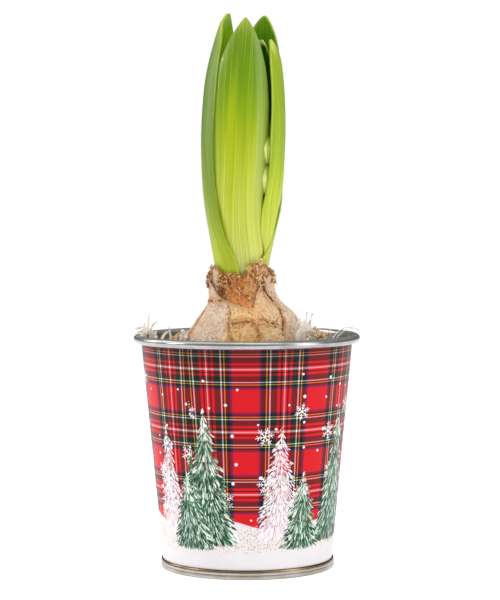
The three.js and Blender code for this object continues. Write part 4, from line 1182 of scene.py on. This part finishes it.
# A shaving is its width, its tones at foot and tip, its halfway point and its tip. Curls are a middle
# point, a spread, how many there are, their tone and their length.
straw = {
    "left": {"clump": (-39, 2), "shavings": [
        [0.6, 0.1, 0.2, -43.4, 1, 104, -42.9, 0, 111.7], [0.75, 0.2, 0.3, -42.6, -1, 103, -39.4, -2, 108.5],
        [0.6, 0.3, 0.4, -45.2, 2.5, 103.5, -44.6, 2, 107.6],
        [0.8, 0.05, 0.15, -42.5, 4, 103.6, -49, 4, 104.6],
        [0.8, 0.1, 0.2, -42, -4, 103.4, -48.6, -5, 104.0], [0.6, 0.1, 0.2, -43, -1, 103.8, -49.6, -1, 105.2],
        [1.2, 0.1, 0.2, -38, 12, 100, -34, 18, 103], [1.2, 0.1, 0.2, -36.5, -9, 96, -36, -16, 94]],
        "curls": [[(-45.0, 0, 103.5), (2.2, 3.5, 0.4), 20, 0.02, 5],
                  [(-42.2, 0, 102.4), (1.0, 2, 1.2), 14, 0.0, 4], [(-39, 2, 94), (4, 6, 3.0), 60, 0.3, 9]]},
    "front": {"clump": (-31, -19), "shavings": [
        [0.8, 0.1, 0.2, -33.0, -17, 102.6, -34, -17, 107.2],
        [1.7, 0.55, 0.65, -31.6, -17, 100.6, -28.2, -17.4, 104.9],
        [1.2, 0.1, 0.2, -24, -26, 96, -17, -32, 97], [1.2, 0.1, 0.2, -35, -22, 96, -31, -29, 94.5],
        [1.2, 0.0, 0.1, -28, -12, 98, -26, -11, 105.0], [1.1, 0.05, 0.15, -30, -10, 98, -28, -9, 104.6]],
        "curls": [[(-30.4, -18, 101.0), (1.6, 2, 1.0), 12, 0.5, 3],
                  [(-31, -19, 93.5), (4, 4, 2.6), 44, 0.4, 9],
                  [(-27.4, -11, 102.4), (1.2, 2, 1.4), 18, 0.02, 4]]},
    "right": {"clump": (29, -20), "shavings": [
        [1.5, 0.2, 0.3, 21.6, -20.6, 103, 23.6, -20, 111.2],
        [1.9, 0.0, 0.1, 24.8, -19.6, 104, 25.9, -19, 110.4],
        [0.6, 0.0, 1.0, 26.0, -19, 108.6, 26.5, -19, 113.2],
        [1.8, 0.0, 0.1, 26.6, -19, 104, 27.8, -18.6, 110.0],
        [0.6, 0.0, 1.0, 27.8, -18.6, 108.4, 28.9, -18.4, 112.2],
        [1.6, 0.05, 0.15, 23.4, -22, 103, 24.6, -21.6, 108.6],
        [1.8, 0.1, 0.2, 22.4, -23, 101, 22.8, -22, 106.2],
        [1.6, 0.3, 0.4, 24.8, -22.4, 101, 25.4, -22, 105.4],
        [1.5, 0.1, 0.2, 28.0, -20, 102.6, 28.6, -19.6, 106.4],
        [1.3, 0.4, 0.5, 22.6, -21, 104, 24.2, -20.6, 109.6],
        [1.2, 0.1, 0.2, 35, -14, 98.6, 36.6, -9, 99.6], [1.2, 0.1, 0.2, 20, -29, 96, 12, -33, 97],
        [0.35, 0.0, 0.1, 41, -2, 104.4, 50.4, 1, 103.5], [0.3, 0.0, 0.1, 42, -4, 103.7, 50.6, -2, 104.0]],
        "curls": [[(30.4, -19, 103.6), (1.6, 1.6, 1.7), 50, 0.5, 3.2],
                  [(33.2, -17.6, 102.8), (1.4, 1.6, 1.1), 30, 0.52, 3.0],
                  [(25.6, -20.6, 101.4), (2.0, 1.6, 1.4), 30, 0.1, 4],
                  [(29, -20, 94), (4.4, 5, 3), 70, 0.45, 9]]},
    "back": {"clump": (8, 37), "shavings": [
        [1.3, 0.1, 0.2, 2, 38, 98, -7, 39, 99], [1.3, 0.1, 0.2, 17, 35, 97.5, 25, 31, 98],
        [1.2, 0.1, 0.2, 6, 40, 98, 3, 37, 103], [1.3, 0.2, 0.3, 13, 37, 98, 19, 39, 96],
        [1.2, 0.2, 0.3, 20, 33, 95, 31, 24, 96], [1.2, 0.1, 0.2, -4, 36, 95, -16, 36, 96]],
        "curls": [[(8, 37, 94.5), (7, 3.4, 2.6), 90, 0.35, 9], [(4, 38, 97), (4, 2, 2), 30, 0.2, 7]]},
}


# Keeps points on the soil: outside the bulb, inside the tin's wall and above the soil.
def heldInPot(points, gap=0.5):
    x, y, z = points[..., 0], points[..., 1], points[..., 2]
    middleX = bulb["middleX"]
    keepOut = skinRadius(np.clip(z, 57, 138)) + 1.6 + gap
    push = np.maximum(keepOut / np.maximum(np.hypot(x - middleX, y), 1e-6), 1)
    x, y = (x - middleX) * push + middleX, y * push
    limit = np.where(z < 102.6, wallRadius(np.clip(z, 5, 101)) - 1.2 - gap, 60)
    pull = np.minimum(limit / np.hypot(x, y), 1)
    x, y = x * pull, y * pull
    return xyz(x, y, np.maximum(z, soilHeight(x, y) + gap))


# Wood wool: long shavings on a curve from their clump's foot through two points, and loose curls that
# wander round a middle point. A curl is a rounded walk whose heading turns steadily.
def makeStraw(which, bunch, seed):
    random = np.random.default_rng(seed)
    t = np.linspace(0, 1, wool["rows"])[None, :]
    u = t[..., None]
    table = np.array(bunch["shavings"])
    widths, tone, tipTone = table[:, :3].T[..., None]
    halfway, tips = table[:, 3:6], table[:, 6:]
    middle = np.array([*bunch["clump"], soilHeight(*bunch["clump"]) + 1.6])
    start = middle + (halfway - middle) * [0.3, 0.3, 0.0]
    bend = 2 * halfway - (start + tips) / 2
    paths = [start[:, None] * (1 - u) ** 2 + 2 * bend[:, None] * u * (1 - u) + tips[:, None] * u ** 2]
    tones = [tone + (tipTone - tone) * easeStep(t, 0.72, 0.84)]
    thick = [np.full(len(tips), wool["thickness"])]
    widths = [widths * (1 - 0.75 * t ** 6) * (0.6 + 0.4 * easeStep(t, 0, 0.2))]
    for centre, spread, count, tone, length in bunch["curls"]:
        lot = lambda: random.random((count, 1))
        heading = 2 * np.pi * lot() + t * random.normal(0, 2.6, (count, 1)) + 0.6 * np.sin(5 * t + 6 * lot())
        tilt = 0.7 * np.sin(2 * np.pi * (lot() + t * (0.4 + 0.8 * lot())))
        stride = length * (0.5 + lot()) / wool["rows"]
        steps = xyz(np.cos(heading) * np.cos(tilt), np.sin(heading) * np.cos(tilt), np.sin(tilt))
        walk = np.cumsum(steps * stride[..., None], axis=1)
        walk = walk - walk.mean(axis=1, keepdims=True)
        paths.append(heldInPot(np.array(centre) + random.normal(0, 1, (count, 1, 3)) * spread + walk))
        tones.append(np.clip(tone + 0.4 * (lot() - 0.5), 0, 1) + 0 * t)
        thick.append(0.14 + 0.14 * lot()[:, 0])
        widths.append((0.5 + 0.7 * lot()) * (0.35 + 0.65 * np.sin(np.pi * np.clip(t + 0.08, 0, 1))))
    paths, tones, thick, widths = [np.concatenate(parts) for parts in (paths, tones, thick, widths)]
    total = len(paths)
    roll = 2 * np.pi * random.random((total, 1)) + t * random.normal(0, 1.3, (total, 1))
    roll[:len(tips)] = -np.pi / 2 + 0.5 * (random.random((len(tips), 1)) - 0.5)
    field = xyz(tones, t, random.random((total, 1)))
    field = np.repeat(field[:, :, None], 4, axis=2)
    facing = xyz(np.cos(roll), np.sin(roll), 0.35)
    strips = ribbons(paths, widths, thick[:, None] + 0 * widths, facing, field)
    name = "straw" + which.capitalize()
    makePiece(name, [strips], [woodWool(name + "Wood")], "straw_" + which, sharpAbove=30)


# Pale wood: the tone picks cream, straw or tan, long grain runs along each shaving, and cut tips are
# darker on some of them.
def woodWool(name):
    finish = Finish(name)
    tone, way, lot = finish.field("strip")
    grain = finish.noise(finish.place(), 0.8, 3.0, 0.6)
    fine = finish.noise(finish.vector(lot * 60, way * 2), 2.2, 3.0)
    colour = finish.over(
        finish.ramp(tone + (grain - 0.5) * 0.3, wool["tones"]),
        ((190, 156, 116), fine.ease(0.58, 0.7) * 0.2),
        ((128, 110, 104), way.ease(0.7, 1.0) * lot.ease(0.5, 0.9) * 0.3),
    )
    return finish.done(colour, 0.7, grain, 0.12, {"Specular IOR Level": 0.3})


def dressRoots():  # creams picked by one grain
    finish = Finish("rootSkin")
    grain = finish.noise(finish.place(), 0.6, 4.0, 0.6)
    colour = finish.ramp(grain, [(0.3, (206, 192, 150)), (0.55, (234, 224, 196)), (0.8, (246, 240, 222))])
    material = finish.done(colour, 0.6, grain, 0.15)
    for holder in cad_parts["root_tuft"].material_slots:
        holder.material = material


makeBulb()
for kind, tunic in tunics.items():
    makeTunic(kind, tunic)
makeShreds()
print("bulb and tunics ready")
for which, leaf in leaves.items():
    makeLeaf(which, leaf)
makeSpike()
print("shoot ready")
makeSoil()
for number, (which, bunch) in enumerate(straw.items()):
    makeStraw(which, bunch, wool["firstSeed"] + number)
dressRoots()
print("soil and wood wool ready")
